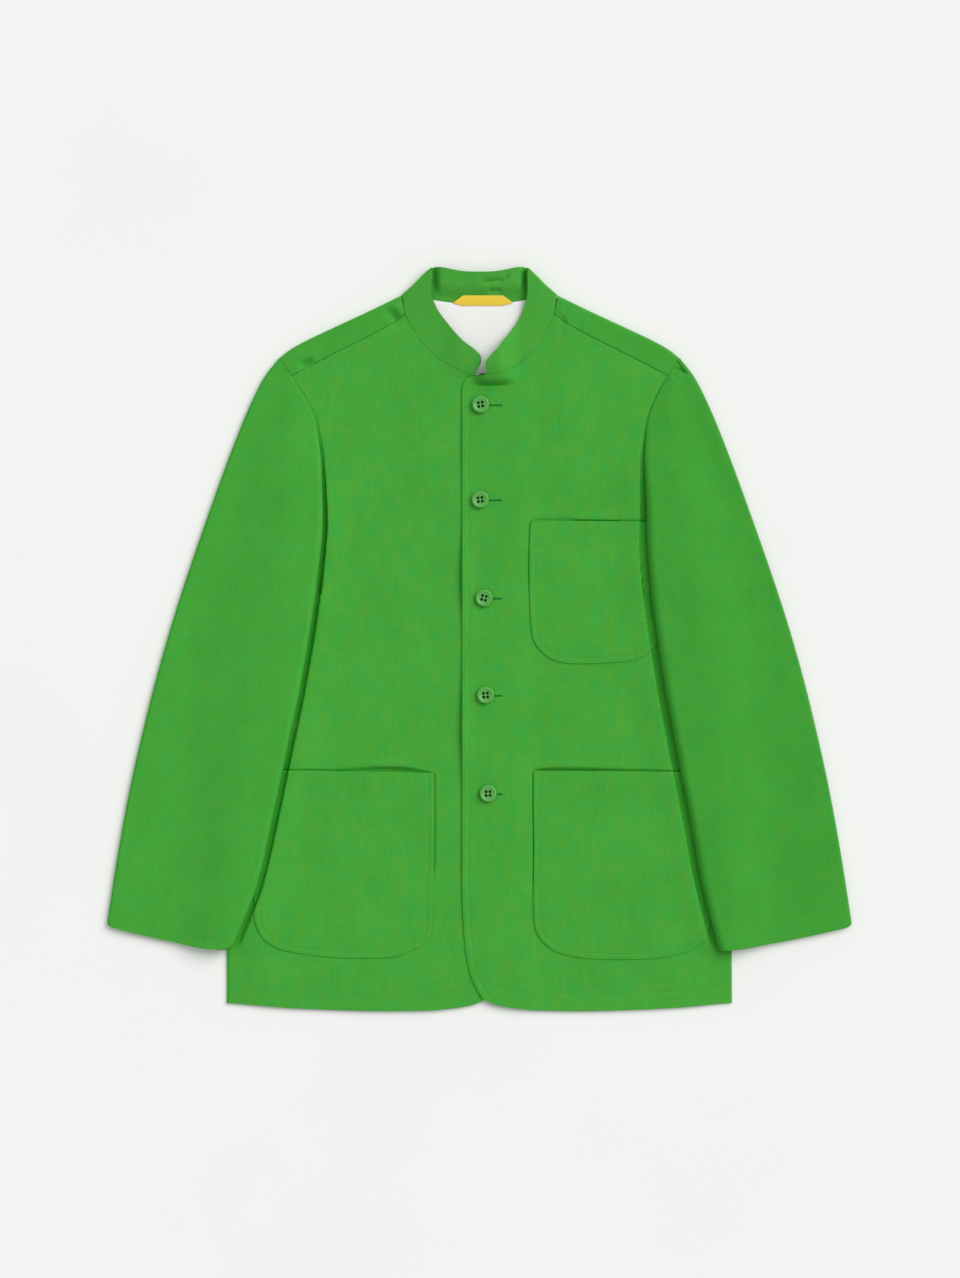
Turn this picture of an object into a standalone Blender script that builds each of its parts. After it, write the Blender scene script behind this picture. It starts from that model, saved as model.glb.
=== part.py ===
"""Linen jacket with a stand collar, laid out flat on its back.

Run with: blender --background --python part.py

X runs across the jacket to the wearer's left, Y runs up from the hem to the collar, and Z is up from the
surface that the jacket lies on. The origin is the middle of the jacket's outline, on that surface.
Every table and size below is in millimetres, and MM turns it into Blender's metres.
"""

from collections import namedtuple
from math import cos, pi, radians, sin

import bmesh
import bpy
import numpy as np

MM = 0.001

# Cloth and the clearances between its layers
SHELL = 1.2
COLLAR_WALL = 2.0
LINING_WALL = 1.0
LABEL_WALL = 1.0
SEAM_GAP = 0.3
LAYER_GAP = 0.3

# Body, seen from above
SIDE_X = 265.0
UNDERARM_X = 262.0
HEM_CORNER_Y = -382.0
BACK_HEM_MIDDLE_Y = -375.0
UNDERARM_Y = 23.0
CENTRE_FRONT_X = 5.25
BUTTON_STAND = 23.4
BACK_INSET = 3.2
UNDERARM_SHARE = 0.62
STAND_SHARE = 0.1
STAND_ROUNDING = 3.0
NECK_SHARE = 0.5
BACK_NECK_SHARE = 0.4
UNDERARM_BLEND = 0.2
SHOULDER_BLEND = 0.15

# Body, heights of its upper face
BODY_TOP = 6.2
SIDE_TOP = 3.5
HEM_TOP = 2.9
HEM_RISE = 90.0
HEM_LEAST = 0.25
SIDE_RISE = 70.0
SIDE_ROLL = 3.0
SIDE_ROLL_MOST = 0.6
OVERLAP_LIFT = 1.6
OVERLAP_END = 36.0
OVERLAP_FADE = 30.0
SHOULDER_ROLL = BODY_TOP / 2

# Sleeves
OUTER_ROLL = 2.9
SLEEVE_INNER_ROOM = 1.9
SLEEVE_OUTER_ROOM = 3.4
SLEEVE_FALL_START = 0.5
SLEEVE_FALL = 0.35
SLEEVE_FALL_END = 0.97
UNDERARM_ALONG = 0.44
HEAD_LIFT_START = 0.36

# Collar
COLLAR_SEAM_TOP = 6.4
COLLAR_EDGE_TOP = 7.2

# Small pieces
BUTTON_RADIUS = 9.0
BUTTON_HEIGHT = 3.2
BUTTON_RIM = 1.8
BUTTON_WELL = 0.7
BUTTON_CHAMFER = 0.7
BUTTON_HOLE_RADIUS = 1.0
BUTTON_HOLE_OFFSET = 1.9
LABEL_TOP_HALF = 21.0
LABEL_BOTTOM_HALF = 24.0
LABEL_WIDEST_HALF = 31.5
LABEL_X = 3.7
LABEL_TOP_Y = 360.5
LABEL_WIDEST_Y = 353.8
LABEL_BOTTOM_Y = 349.6
LABEL_Z = 2.8

# The wearer's left is at +X
SIDES = {"left": 1, "right": -1}

Point = namedtuple("Point", "share x y")
Sleeve = namedtuple("Sleeve", "along outer_x outer_y inner_x inner_y skew wrap edge_z drop roll body_share")
Band = namedtuple("Band", "share seam_x seam_y edge_x edge_y")
Pocket = namedtuple("Pocket", "name side inner_x outer_x top_y bottom_y inner_round outer_round gape")
Button = namedtuple("Button", "x y")

# Sections of a sleeve from its head to its cuff: where its two edges lie, how far the inner edge lies
# further out on the wearer's left than on the right, how far the cloth wraps round to the underside,
# and the height and rounding of the inner edge
SLEEVE = [
    Sleeve(0.00, 210.5, 294.0, 197.9, 275.1, 0.0, 4, 4.5, 0.6, 1.6, 0.50),
    Sleeve(0.03, 224.5, 276.2, 185.3, 257.1, 1.0, 18, 4.7, 0.6, 1.7, 0.50),
    Sleeve(0.08, 239.9, 246.3, 173.8, 226.9, 2.5, 45, 5.2, 0.8, 2.0, 0.50),
    Sleeve(0.16, 259.4, 198.8, 170.1, 178.7, 5.0, 70, 6.8, 1.0, 2.6, 0.52),
    Sleeve(0.25, 279.1, 145.1, 170.1, 124.4, 6.5, 84, 8.4, 1.2, 3.0, 0.55),
    Sleeve(0.36, 301.9, 79.7, 175.9, 58.2, 6.5, 76, 8.4, 1.2, 3.0, 0.60),
    Sleeve(0.44, 317.5, 32.1, 182.4, 10.0, 6.5, 52, 8.4, 1.2, 3.0, 0.59),
    Sleeve(0.55, 336.8, -33.5, 193.6, -56.4, 6.2, 32, 8.4, 1.2, 3.0, 0.48),
    Sleeve(0.62, 347.6, -75.1, 201.6, -98.6, 5.8, 28, 8.4, 1.2, 3.0, 0.42),
    Sleeve(0.76, 366.8, -158.4, 217.4, -182.9, 4.7, 26, 8.4, 1.2, 3.0, 0.31),
    Sleeve(0.88, 379.9, -230.0, 233.6, -255.3, 3.0, 26, 8.4, 1.2, 3.0, 0.21),
    Sleeve(1.00, 391.1, -301.4, 256.7, -327.6, -3.5, 26, 8.4, 1.2, 3.0, 0.08),
]

# Front hem from the rounded front corner to the side seam, x counted from the front edge
FRONT_HEM = [
    Point(0.00, 22.0, -379.0),
    Point(0.07, 34.0, -384.5),
    Point(0.15, 52.0, -387.8),
    Point(0.26, 82.0, -390.2),
    Point(0.40, 122.0, -390.4),
    Point(0.70, 206.0, -388.0),
    Point(1.00, SIDE_X - SIDE_ROLL - CENTRE_FRONT_X + BUTTON_STAND, HEM_CORNER_Y),
]

# Front edge from the rounded hem corner to the rounded corner at the neck, x counted from that edge
FRONT_EDGE = [
    Point(0.000, 22.0, -379.0),
    Point(0.018, 14.0, -367.0),
    Point(0.048, 6.5, -348.0),
    Point(0.083, 2.2, -325.0),
    Point(0.121, 0.0, -300.0),
    Point(0.978, 0.0, 258.0),
    Point(0.991, 0.3, 267.0),
    Point(1.000, 2.0, 271.9),
]

# Shoulder seam from the neck to the sleeve head, and the fold behind it that is the jacket's outline
SHOULDER_SEAM = [
    Point(0.00, 78.2, 340.2),
    Point(0.09, 86.6, 333.9),
    Point(0.28, 110.3, 320.3),
    Point(0.60, 151.2, 299.8),
    Point(1.00, 197.3, 275.7),
]
SHOULDER_FOLD = [
    Point(0.00, 81.9, 360.2),
    Point(0.07, 90.8, 356.0),
    Point(0.24, 112.4, 345.5),
    Point(0.60, 157.5, 324.5),
    Point(0.78, 179.6, 314.0),
    Point(0.92, 198.5, 303.5),
    Point(1.00, 209.6, 294.7),
]

# Side seam from the hem to the underarm, less the rounding at the edge
SIDE_SEAM = [
    Point(0.0, SIDE_X - SIDE_ROLL, HEM_CORNER_Y),
    Point(0.2, SIDE_X - SIDE_ROLL - 0.5, -300.0),
    Point(1.0, UNDERARM_X - SIDE_ROLL, UNDERARM_Y),
]

# Front armhole below the part that shows, from the underarm to where it meets the sleeve's edge
LOW_ARMHOLE = [
    Point(0.00, UNDERARM_X - SIDE_ROLL, UNDERARM_Y),
    Point(0.25, 232.0, 30.0),
    Point(0.55, 203.0, 52.0),
    Point(0.80, 184.0, 85.0),
]
LOW_ARMHOLE_TOP_ALONG = 0.25
LOW_ARMHOLE_SHARE = 0.42

# Collar front, from the fold at the side of the neck to the rounded end at the centre front, where the
# seam meets the shoulder seam on the way
COLLAR_FRONT = [
    Band(0.00, 81.9, 360.2, 49.4, 390.6),
    Band(0.20, 78.2, 340.2, 49.3, 364.8),
    Band(0.35, 72.5, 329.0, 46.3, 349.0),
    Band(0.55, 60.5, 308.5, 36.0, 330.0),
    Band(0.75, 42.0, 291.4, 22.0, 312.5),
    Band(0.88, 25.5, 281.0, 10.5, 301.5),
    Band(0.95, 15.5, 277.0, 5.0, 295.6),
    Band(1.00, 8.2, 275.3, 2.8, 289.0),
]
COLLAR_SHOULDER_SHARE = 0.2
COLLAR_BACK_SEAM_Y = 352.3
COLLAR_BACK_EDGE_Y = 384.3
COLLAR_BACK_BOW = 1.7

# Back lining below the neck, half of its outline: the top follows the neck seam
LINING_TOP_X = 66.0
LINING_BOTTOM_X = 104.0
LINING_BOTTOM_Y = 215.0
LINING_NECK_RISE = 4.0

POCKETS = [
    Pocket("chest_pocket", 1, 52.5, 190.5, 123.9, -25.5, 36, 36, 0.4),
    Pocket("hip_pocket_left", 1, 57.0, 243.0, -137.5, -335.3, 36, 52, 1.0),
    Pocket("hip_pocket_right", -1, 47.3, 236.5, -137.5, -334.5, 36, 52, 1.6),
]

BUTTONS = [
    Button(1.0, 245.7),
    Button(0.6, 146.0),
    Button(4.6, 43.0),
    Button(6.3, -58.8),
    Button(8.9, -161.8),
]


def clear_scene():
    for item in list(bpy.data.objects):
        bpy.data.objects.remove(item, do_unlink=True)


def new_collection(name):
    group = bpy.data.collections.new(name)
    bpy.context.scene.collection.children.link(group)
    return group


def material(name, colour, roughness):
    made = bpy.data.materials.new(name)
    made.use_nodes = True
    shader = made.node_tree.nodes["Principled BSDF"]
    shader.inputs["Base Color"].default_value = (*colour, 1.0)
    shader.inputs["Roughness"].default_value = roughness
    shader.inputs["Metallic"].default_value = 0.0
    return made


# Curves through tables


def table_slopes(keys, table):
    """Slope at each row that keeps a curve through the table from overshooting."""
    spans = np.diff(keys)[:, None]
    secants = np.diff(table, axis=0) / spans
    slopes = np.vstack([secants[:1], secants])
    before, after = secants[:-1], secants[1:]
    near, far = spans[1:] + 2 * spans[:-1], 2 * spans[1:] + spans[:-1]
    same_way = before * after > 0
    safe_before = np.where(same_way, before, 1.0)
    safe_after = np.where(same_way, after, 1.0)
    slopes[1:-1] = np.where(same_way, (near + far) / (far / safe_before + near / safe_after), 0.0)
    return slopes


def track(rows):
    """A smooth curve through a table: a function of its first column that gives every column."""
    kind = type(rows[0])
    table = np.array(rows, float)
    keys = table[:, 0]
    slopes = table_slopes(keys, table)

    def at(key):
        low = int(np.clip(np.searchsorted(keys, key) - 1, 0, len(keys) - 2))
        span = keys[low + 1] - keys[low]
        s = (key - keys[low]) / span
        ease = s * s * (3 - 2 * s)
        bend = span * s * (1 - s) * ((1 - s) * slopes[low] - s * slopes[low + 1])
        return kind(*(table[low] * (1 - ease) + table[low + 1] * ease + bend))

    return at


def smooth(value):
    """0 below 0 and 1 above 1, with a soft step between."""
    s = min(1.0, max(0.0, value))
    return s * s * (3 - 2 * s)


def place(x, y):
    return np.array([x, y], float)


def unit(vector):
    return vector / np.linalg.norm(vector)


def coons(bottom, top, inner, outer):
    """The flat patch between four edges, each a function from 0 to 1 that gives a place."""

    def at(u, v):
        between = (1 - v) * bottom(u) + v * top(u) + (1 - u) * inner(v) + u * outer(v)
        corners = (1 - u) * ((1 - v) * bottom(0) + v * top(0)) + u * ((1 - v) * bottom(1) + v * top(1))
        return between - corners

    return at


def joined(first, second, share):
    """Two edges as one: the first up to that share, then the second."""

    def at(s):
        return first(s / share) if s <= share else second((s - share) / (1 - share))

    return at


# Solids from rows of points


def sheet(name, rows, thickness, faces_up, group, paint):
    """A wall lofted through rows of points on its outer face, which looks up or down at its highest place.

    A row with fewer points than the next one ends the columns past its own last point.
    """
    shape = bmesh.new()
    grid = [[shape.verts.new([value * MM for value in point]) for point in row] for row in rows]
    for low, high in zip(grid, grid[1:]):
        for column in range(min(len(low), len(high)) - 1):
            shape.faces.new((low[column], low[column + 1], high[column + 1], high[column]))
    shape.normal_update()
    highest = max(shape.faces, key=lambda face: face.calc_center_median().z)
    if (highest.normal.z > 0) != faces_up:
        bmesh.ops.reverse_faces(shape, faces=shape.faces)
    mesh = bpy.data.meshes.new(name)
    shape.to_mesh(mesh)
    shape.free()
    mesh.shade_smooth()
    mesh.materials.append(paint)
    made = bpy.data.objects.new(name, mesh)
    group.objects.link(made)
    wall = made.modifiers.new("Wall", "SOLIDIFY")
    wall.thickness = thickness * MM
    wall.offset = -1
    wall.use_even_offset = True
    wall.use_quality_normals = True
    return made


def mirrored(rows, side):
    return [[(side * x, y, z) for x, y, z in row] for row in rows]


# Body


def front_top_height(x, y, hem_y):
    """Height of a front's upper face, x counted outwards from the middle of the jacket."""
    from_side = SIDE_X - SIDE_ROLL - x
    crowned = SIDE_TOP + (BODY_TOP - SIDE_TOP) * smooth(from_side / SIDE_RISE)
    share = HEM_LEAST + (1 - HEM_LEAST) * smooth((y - hem_y) / HEM_RISE)
    return HEM_TOP + (crowned - HEM_TOP) * share


def overlap_lift(x, side):
    """The wearer's left front lies on the right one along the button stand."""
    return OVERLAP_LIFT * (1 - smooth((x - OVERLAP_END) / OVERLAP_FADE)) if side > 0 else 0.0


def front_hem_y(x, side):
    """Hem line under a place on a front."""
    edge_x = side * CENTRE_FRONT_X - BUTTON_STAND
    table = np.array(FRONT_HEM)
    return float(np.interp(x - edge_x, table[:, 1], table[:, 2]))


def front_height(x, y, side):
    return front_top_height(x, y, front_hem_y(x, side)) + overlap_lift(x, side)


def sleeve_edges(along, side):
    """Section of a sleeve and the places of its inner and outer edge."""
    row = sleeve_at(along)
    return row, place(row.inner_x + side * row.skew, row.inner_y), place(row.outer_x, row.outer_y)


def wrap_spot(row, reach):
    """Place that far in from a sleeve's outer edge, the same on both sleeves."""
    outer = place(row.outer_x, row.outer_y)
    return outer + unit(place(row.inner_x, row.inner_y) - outer) * reach


def armhole_edge(side):
    """Front armhole from the underarm to the shoulder: hidden below, then along the sleeve's inner edge."""
    _, meeting, _ = sleeve_edges(LOW_ARMHOLE_TOP_ALONG, side)
    hidden = track(LOW_ARMHOLE + [Point(1.0, meeting[0] - SEAM_GAP, meeting[1])])

    def shown(s):
        _, inner, outer = sleeve_edges(LOW_ARMHOLE_TOP_ALONG * (1 - s), side)
        return inner + unit(inner - outer) * SEAM_GAP

    def low(s):
        point = hidden(s)
        return place(point.x, point.y)

    return joined(low, shown, LOW_ARMHOLE_SHARE)


def collar_section(share, side):
    """Seam and edge of the collar front; towards its end it follows the centre front, off the middle."""
    band = band_at(share)
    past_shoulder = (share - COLLAR_SHOULDER_SHARE) / (1 - COLLAR_SHOULDER_SHARE)
    shift = place(side * CENTRE_FRONT_X * smooth(past_shoulder), 0)
    return place(band.seam_x, band.seam_y) + shift, place(band.edge_x, band.edge_y) + shift


def front_patch(side):
    """Plan of a front: across from its edge to the side seam, up from the hem to the shoulder."""
    edge_x = side * CENTRE_FRONT_X - BUTTON_STAND
    hem, edge = track(FRONT_HEM), track(FRONT_EDGE)
    shoulder, seam = track(SHOULDER_SEAM), track(SIDE_SEAM)
    stretch = (SIDE_X - SIDE_ROLL - edge_x) / FRONT_HEM[-1].x

    def hem_edge(s):
        point = hem(s)
        return place(edge_x + point.x * (1 + (stretch - 1) * s), point.y)

    def front_edge(s):
        point = edge(s)
        return place(edge_x + point.x, point.y)

    def stand_top(s):
        corner, end = front_edge(1), neck_edge(0)
        rounding = smooth(s * STAND_ROUNDING)
        return place(corner[0] + (end[0] - corner[0]) * s, corner[1] + (end[1] - corner[1]) * rounding)

    def neck_edge(s):
        return collar_section(1 - s * (1 - COLLAR_SHOULDER_SHARE), side)[0]

    def shoulder_edge(s):
        point = shoulder(s)
        return place(point.x, point.y)

    def side_edge(s):
        point = seam(s)
        return place(point.x, point.y)

    def end_fixed(s):
        armhole = armhole_edge(side)
        return armhole(s) + (shoulder_edge(1) - armhole(1)) * smooth(1 - (1 - s) / SHOULDER_BLEND)

    top = joined(joined(stand_top, neck_edge, STAND_SHARE / NECK_SHARE), shoulder_edge, NECK_SHARE)
    return coons(hem_edge, top, front_edge, joined(side_edge, end_fixed, UNDERARM_SHARE))


def front_share(along):
    """How far up a front the armhole meets that section of the sleeve."""
    shown = 1 - along / LOW_ARMHOLE_TOP_ALONG
    return UNDERARM_SHARE + (1 - UNDERARM_SHARE) * (LOW_ARMHOLE_SHARE + (1 - LOW_ARMHOLE_SHARE) * shown)


def neck_column(share):
    """How far across a front its neckline meets that section of the collar."""
    along_neck = (1 - share) / (1 - COLLAR_SHOULDER_SHARE)
    return STAND_SHARE + (NECK_SHARE - STAND_SHARE) * along_neck


def back_share(along):
    """How far up the back its armhole meets that section of the sleeve."""
    return UNDERARM_SHARE + (1 - UNDERARM_SHARE) * (1 - along / UNDERARM_ALONG)


SLEEVE_ROWS = [0, 0.015, 0.03, 0.055, 0.08, 0.12, 0.16, 0.2, 0.25, 0.3, 0.36, 0.4, UNDERARM_ALONG]
SLEEVE_ROWS += [0.49, 0.55, 0.62, 0.69, 0.76, 0.82, 0.88, 0.94, 1]
NECK_SHARES = [COLLAR_SHOULDER_SHARE, 0.32, 0.44, 0.56, 0.68, 0.79, 0.88, 0.95, 1]
FRONT_COLUMNS = [0, 0.03, 0.06] + [neck_column(share) for share in NECK_SHARES[::-1]]
FRONT_COLUMNS += [0.56, 0.66, 0.76, 0.86, 0.94, 1]
FRONT_ROWS = [0, 0.018, 0.048, 0.083, 0.121, 0.17, 0.24, 0.32, 0.4, 0.48, 0.55, UNDERARM_SHARE]
FRONT_ROWS += [UNDERARM_SHARE + (1 - UNDERARM_SHARE) * LOW_ARMHOLE_SHARE * s for s in (0.3, 0.65)]
FRONT_ROWS += [front_share(along) for along in SLEEVE_ROWS[::-1] if along <= LOW_ARMHOLE_TOP_ALONG]
ROLL_ANGLES = [radians(30), radians(60), radians(90)]


def side_roll(x, y, z):
    """Points that carry a side edge round and down to the surface."""
    rounding = min(SIDE_ROLL, SIDE_ROLL_MOST * z)
    turned = [(x + SIDE_ROLL * sin(a), y, z - rounding * (1 - cos(a))) for a in ROLL_ANGLES]
    return turned + [(x + SIDE_ROLL, y, 0.0)]


def front_rows(side):
    patch = front_patch(side)
    rows = []
    for v in FRONT_ROWS:
        spots = [patch(u, v) for u in FRONT_COLUMNS]
        row = [(x, y, front_height(x, y, side)) for x, y in spots]
        rows.append(row + (side_roll(*row[-1]) if v <= UNDERARM_SHARE else []))
    return rows


def shoulder_line(share):
    """Place on the shoulder fold, and the direction from there to the shoulder seam."""
    fold, seam = fold_at(share), seam_at(share)
    start, end = place(fold.x, fold.y), place(seam.x, seam.y)
    return start, unit(end - start), np.linalg.norm(end - start)


def back_patch():
    """Plan of half of the back, from the middle to the side and from the hem to the shoulder fold."""
    seam = track(SIDE_SEAM)

    def hem_edge(s):
        fall = HEM_CORNER_Y - BACK_HEM_MIDDLE_Y
        return place(s * (SIDE_X - BACK_INSET), BACK_HEM_MIDDLE_Y + fall * s * s)

    def middle_line(s):
        return place(0, BACK_HEM_MIDDLE_Y + (COLLAR_BACK_SEAM_Y - BACK_HEM_MIDDLE_Y) * s)

    def neck_edge(s):
        start, inwards, _ = shoulder_line(0)
        corner = start + inwards * SHOULDER_ROLL
        return place(s * corner[0], COLLAR_BACK_SEAM_Y + (corner[1] - COLLAR_BACK_SEAM_Y) * s * s)

    def shoulder_edge(s):
        start, inwards, _ = shoulder_line(s)
        return start + inwards * SHOULDER_ROLL

    def side_edge(s):
        point = seam(s)
        return place(point.x + SIDE_ROLL - BACK_INSET, point.y)

    def armhole(s):
        row = sleeve_at(UNDERARM_ALONG * (1 - s))
        sewn = wrap_spot(row, row.wrap + SEAM_GAP)
        low_end, high_end = smooth(1 - s / UNDERARM_BLEND), smooth(1 - (1 - s) / SHOULDER_BLEND)
        return sewn * (1 - low_end - high_end) + side_edge(1) * low_end + shoulder_edge(1) * high_end

    top = joined(neck_edge, shoulder_edge, BACK_NECK_SHARE)
    return coons(hem_edge, top, middle_line, joined(side_edge, armhole, UNDERARM_SHARE))


BACK_COLUMNS = [0, 0.1, 0.2, 0.3, BACK_NECK_SHARE, 0.45, 0.55, 0.66, 0.77, 0.87, 0.95, 1]
BACK_ROWS = [0, 0.15, 0.32, 0.48, UNDERARM_SHARE]
BACK_ROWS += [back_share(along) for along in SLEEVE_ROWS[::-1] if along < UNDERARM_ALONG]
FOLD_ANGLES = [radians(a) for a in (30, 60, 90, 120, 150, 180)]


def shoulder_wrap(u):
    """Points of a back column that go round the shoulder fold and forward to the shoulder seam."""
    start, inwards, width = shoulder_line((u - BACK_NECK_SHARE) / (1 - BACK_NECK_SHARE))
    points = []
    for angle in FOLD_ANGLES:
        spot = start + inwards * SHOULDER_ROLL * (1 - sin(angle))
        points.append((*spot, SHOULDER_ROLL * (1 - cos(angle))))
    for share in (0.5, 1):
        spot = start + inwards * (SHOULDER_ROLL + (width - SEAM_GAP - SHOULDER_ROLL) * share)
        points.append((*spot, BODY_TOP))
    return points


def back_columns():
    """Columns of the back from its right side to its left; those that reach a shoulder go round it."""
    patch = back_patch()
    half = []
    for u in BACK_COLUMNS:
        column = [(*patch(u, v), 0.0) for v in BACK_ROWS]
        half.append(column + (shoulder_wrap(u) if u >= BACK_NECK_SHARE else []))
    return mirrored(half[:0:-1], -1) + half


# Sleeves


def sleeve_lift(row, share):
    """Height of the underside of a sleeve's lower layer, from the inner edge at 0 to the outer edge at 1."""
    inner = row.edge_z + row.drop + row.roll - 2 * SHELL - SLEEVE_INNER_ROOM
    start = SLEEVE_FALL_START * row.body_share
    end = min(SLEEVE_FALL_END, row.body_share + SLEEVE_FALL)
    return inner * (1 - smooth((share - start) / (end - start)))


def sleeve_top(row, share):
    room = SLEEVE_INNER_ROOM + (SLEEVE_OUTER_ROOM - SLEEVE_INNER_ROOM) * smooth(share)
    return sleeve_lift(row, share) + 2 * SHELL + room


SLEEVE_COLUMNS = [0, 0.12, 0.25, 0.38, 0.5, 0.62, 0.74, 0.87, 1]
WRAP_COLUMNS = [0.3, 0.65, 1]


def sleeve_top_row(along, side):
    """Upper sleeve section: round the inner edge, across the top, round the outer edge and underneath."""
    row, inner, outer = sleeve_edges(along, side)
    inwards, width = unit(inner - outer), np.linalg.norm(inner - outer)
    points = [(*inner, row.edge_z)]
    for angle in reversed(ROLL_ANGLES):
        spot = inner - inwards * row.roll * (1 - sin(angle))
        points.append((*spot, sleeve_top(row, 0) - row.roll * (1 - cos(angle))))
    start, end = inner - inwards * row.roll, wrap_spot(row, OUTER_ROLL)
    for share in SLEEVE_COLUMNS:
        points.append((*(start + (end - start) * share), sleeve_top(row, share)))
    for angle in FOLD_ANGLES:
        spot = wrap_spot(row, OUTER_ROLL * (1 - sin(angle)))
        points.append((*spot, OUTER_ROLL * (1 + cos(angle))))
    head_lift = smooth((along - HEAD_LIFT_START) / (UNDERARM_ALONG - HEAD_LIFT_START))
    for share in WRAP_COLUMNS:
        reach = OUTER_ROLL + (row.wrap - OUTER_ROLL) * share
        points.append((*wrap_spot(row, reach), head_lift * sleeve_lift(row, 1 - reach / width)))
    return points


UNDER_COLUMNS = [0, 0.18, 0.34, 0.5, 0.66, 0.82, 1]


def sleeve_under_row(along, side):
    """Under sleeve section, on its lower face, between the inner edge and the upper sleeve's wrap."""
    row, inner, outer = sleeve_edges(along, side)
    inwards, width = unit(inner - outer), np.linalg.norm(inner - outer)
    start = inner - inwards * (SHELL + 2 * SEAM_GAP)
    end = wrap_spot(row, row.wrap + SEAM_GAP)
    points = []
    for share in UNDER_COLUMNS:
        spot = start + (end - start) * share
        points.append((*spot, sleeve_lift(row, np.linalg.norm(spot - inner) / width)))
    return points


# Collar, lining and label


COLLAR_HEIGHTS = [0, 0.35, 0.7, 1]
COLLAR_FRONT_SHARES = [0.06, 0.13] + NECK_SHARES
COLLAR_BACK_SHARES = [0, 0.2, 0.4, 0.6, 0.8]


def collar_spots(seam, edge):
    """Places up the collar from its seam to its edge, clear of the cloth it is sewn to."""
    seam = seam + unit(edge - seam) * SEAM_GAP
    return [seam + (edge - seam) * height for height in COLLAR_HEIGHTS]


def collar_tops():
    return [COLLAR_SEAM_TOP + (COLLAR_EDGE_TOP - COLLAR_SEAM_TOP) * height for height in COLLAR_HEIGHTS]


def collar_half(side):
    """Sections of half of the collar, from the middle of the back round to the front end."""
    seam_end, edge_end = collar_section(0, side)
    rise = edge_end - seam_end
    square = unit(place(rise[1], -rise[0]))
    aways = [unit(square + (place(1, 0) - square) * height) for height in COLLAR_HEIGHTS]
    rolls = [top / 2 for top in collar_tops()]
    outline = collar_spots(seam_end, edge_end)
    centres = [spot - away * roll for spot, away, roll in zip(outline, aways, rolls)]
    middle = collar_spots(place(0, COLLAR_BACK_SEAM_Y), place(0, COLLAR_BACK_EDGE_Y))
    rows = []
    for share in COLLAR_BACK_SHARES:
        climb = share**COLLAR_BACK_BOW
        rows.append([(c[0] * share, m[1] + (c[1] - m[1]) * climb, 0.0) for c, m in zip(centres, middle)])
    for angle in [0, *FOLD_ANGLES]:
        turn = zip(centres, aways, rolls)
        rows.append([(*(c + away * r * sin(angle)), r * (1 - cos(angle))) for c, away, r in turn])
    for share in COLLAR_FRONT_SHARES:
        spots = collar_spots(*collar_section(share, side))
        rows.append([(*spot, top) for spot, top in zip(spots, collar_tops())])
    return rows


def collar_rows():
    left, right = collar_half(1), collar_half(-1)
    return mirrored(right[:0:-1], -1) + left


def lining_rows():
    """Lining of the back below the neck seam, raised from the back's own face."""
    rows = []
    for v in (0, 0.3, 0.6, 0.85, 1):
        half = LINING_BOTTOM_X + (LINING_TOP_X - LINING_BOTTOM_X) * v
        row = []
        for u in (-1, -0.75, -0.5, -0.25, 0, 0.25, 0.5, 0.75, 1):
            neck = COLLAR_BACK_SEAM_Y - 2 * SEAM_GAP + LINING_NECK_RISE * u * u
            y = LINING_BOTTOM_Y + (neck - LINING_BOTTOM_Y) * v
            row.append((u * half, y, SHELL + LAYER_GAP + LINING_WALL))
        rows.append(row)
    return rows


def neck_label(group, paint):
    outline = bpy.data.curves.new("neck_label", "CURVE")
    outline.dimensions = "2D"
    outline.fill_mode = "BOTH"
    outline.extrude = LABEL_WALL / 2 * MM
    corners = [
        (LABEL_BOTTOM_HALF, LABEL_BOTTOM_Y),
        (LABEL_WIDEST_HALF, LABEL_WIDEST_Y),
        (LABEL_TOP_HALF, LABEL_TOP_Y),
    ]
    loop = corners + [(-x, y) for x, y in reversed(corners)]
    line = outline.splines.new("POLY")
    line.points.add(len(loop) - 1)
    for point, (x, y) in zip(line.points, loop):
        point.co = ((LABEL_X + x) * MM, y * MM, 0, 1)
    line.use_cyclic_u = True
    outline.materials.append(paint)
    made = bpy.data.objects.new("neck_label", outline)
    made.location.z = (LABEL_Z + LABEL_WALL / 2) * MM
    group.objects.link(made)


# Pockets and buttons


MOUTH_LEAN = 0.6
MOUTH_DEPTH = 0.2
POCKET_COLUMNS = [0, 0.12, 0.25, 0.38, 0.5, 0.62, 0.75, 0.88, 1]
POCKET_STRAIGHT_ROWS = [0, 0.12, 0.3, 0.55, 0.78]
POCKET_CORNER_ROWS = [radians(a) for a in (0, 20, 40, 60, 75, 90)]


def pocket_rows(pocket):
    """Upper face of a patch pocket, raised from the points of the front it is sewn to."""
    height = pocket.top_y - pocket.bottom_y
    depth = max(pocket.inner_round, pocket.outer_round)
    straight = [(pocket.top_y - (height - depth) * share, 0.0) for share in POCKET_STRAIGHT_ROWS]
    rounded = [(pocket.bottom_y + depth * (1 - sin(a)), 1 - cos(a)) for a in POCKET_CORNER_ROWS]
    rows = []
    for y, drawn_in in straight + rounded:
        inner = pocket.inner_x + pocket.inner_round * drawn_in
        outer = pocket.outer_x - pocket.outer_round * drawn_in
        near_mouth = smooth(1 - (pocket.top_y - y) / (MOUTH_DEPTH * height))
        row = []
        for share in POCKET_COLUMNS:
            x = inner + (outer - inner) * share
            gape = pocket.gape * near_mouth * sin(pi * share**MOUTH_LEAN)
            row.append((x, y, front_height(x, y, pocket.side) + LAYER_GAP + SHELL + gape))
        rows.append(row)
    return mirrored(rows, pocket.side)


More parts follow.
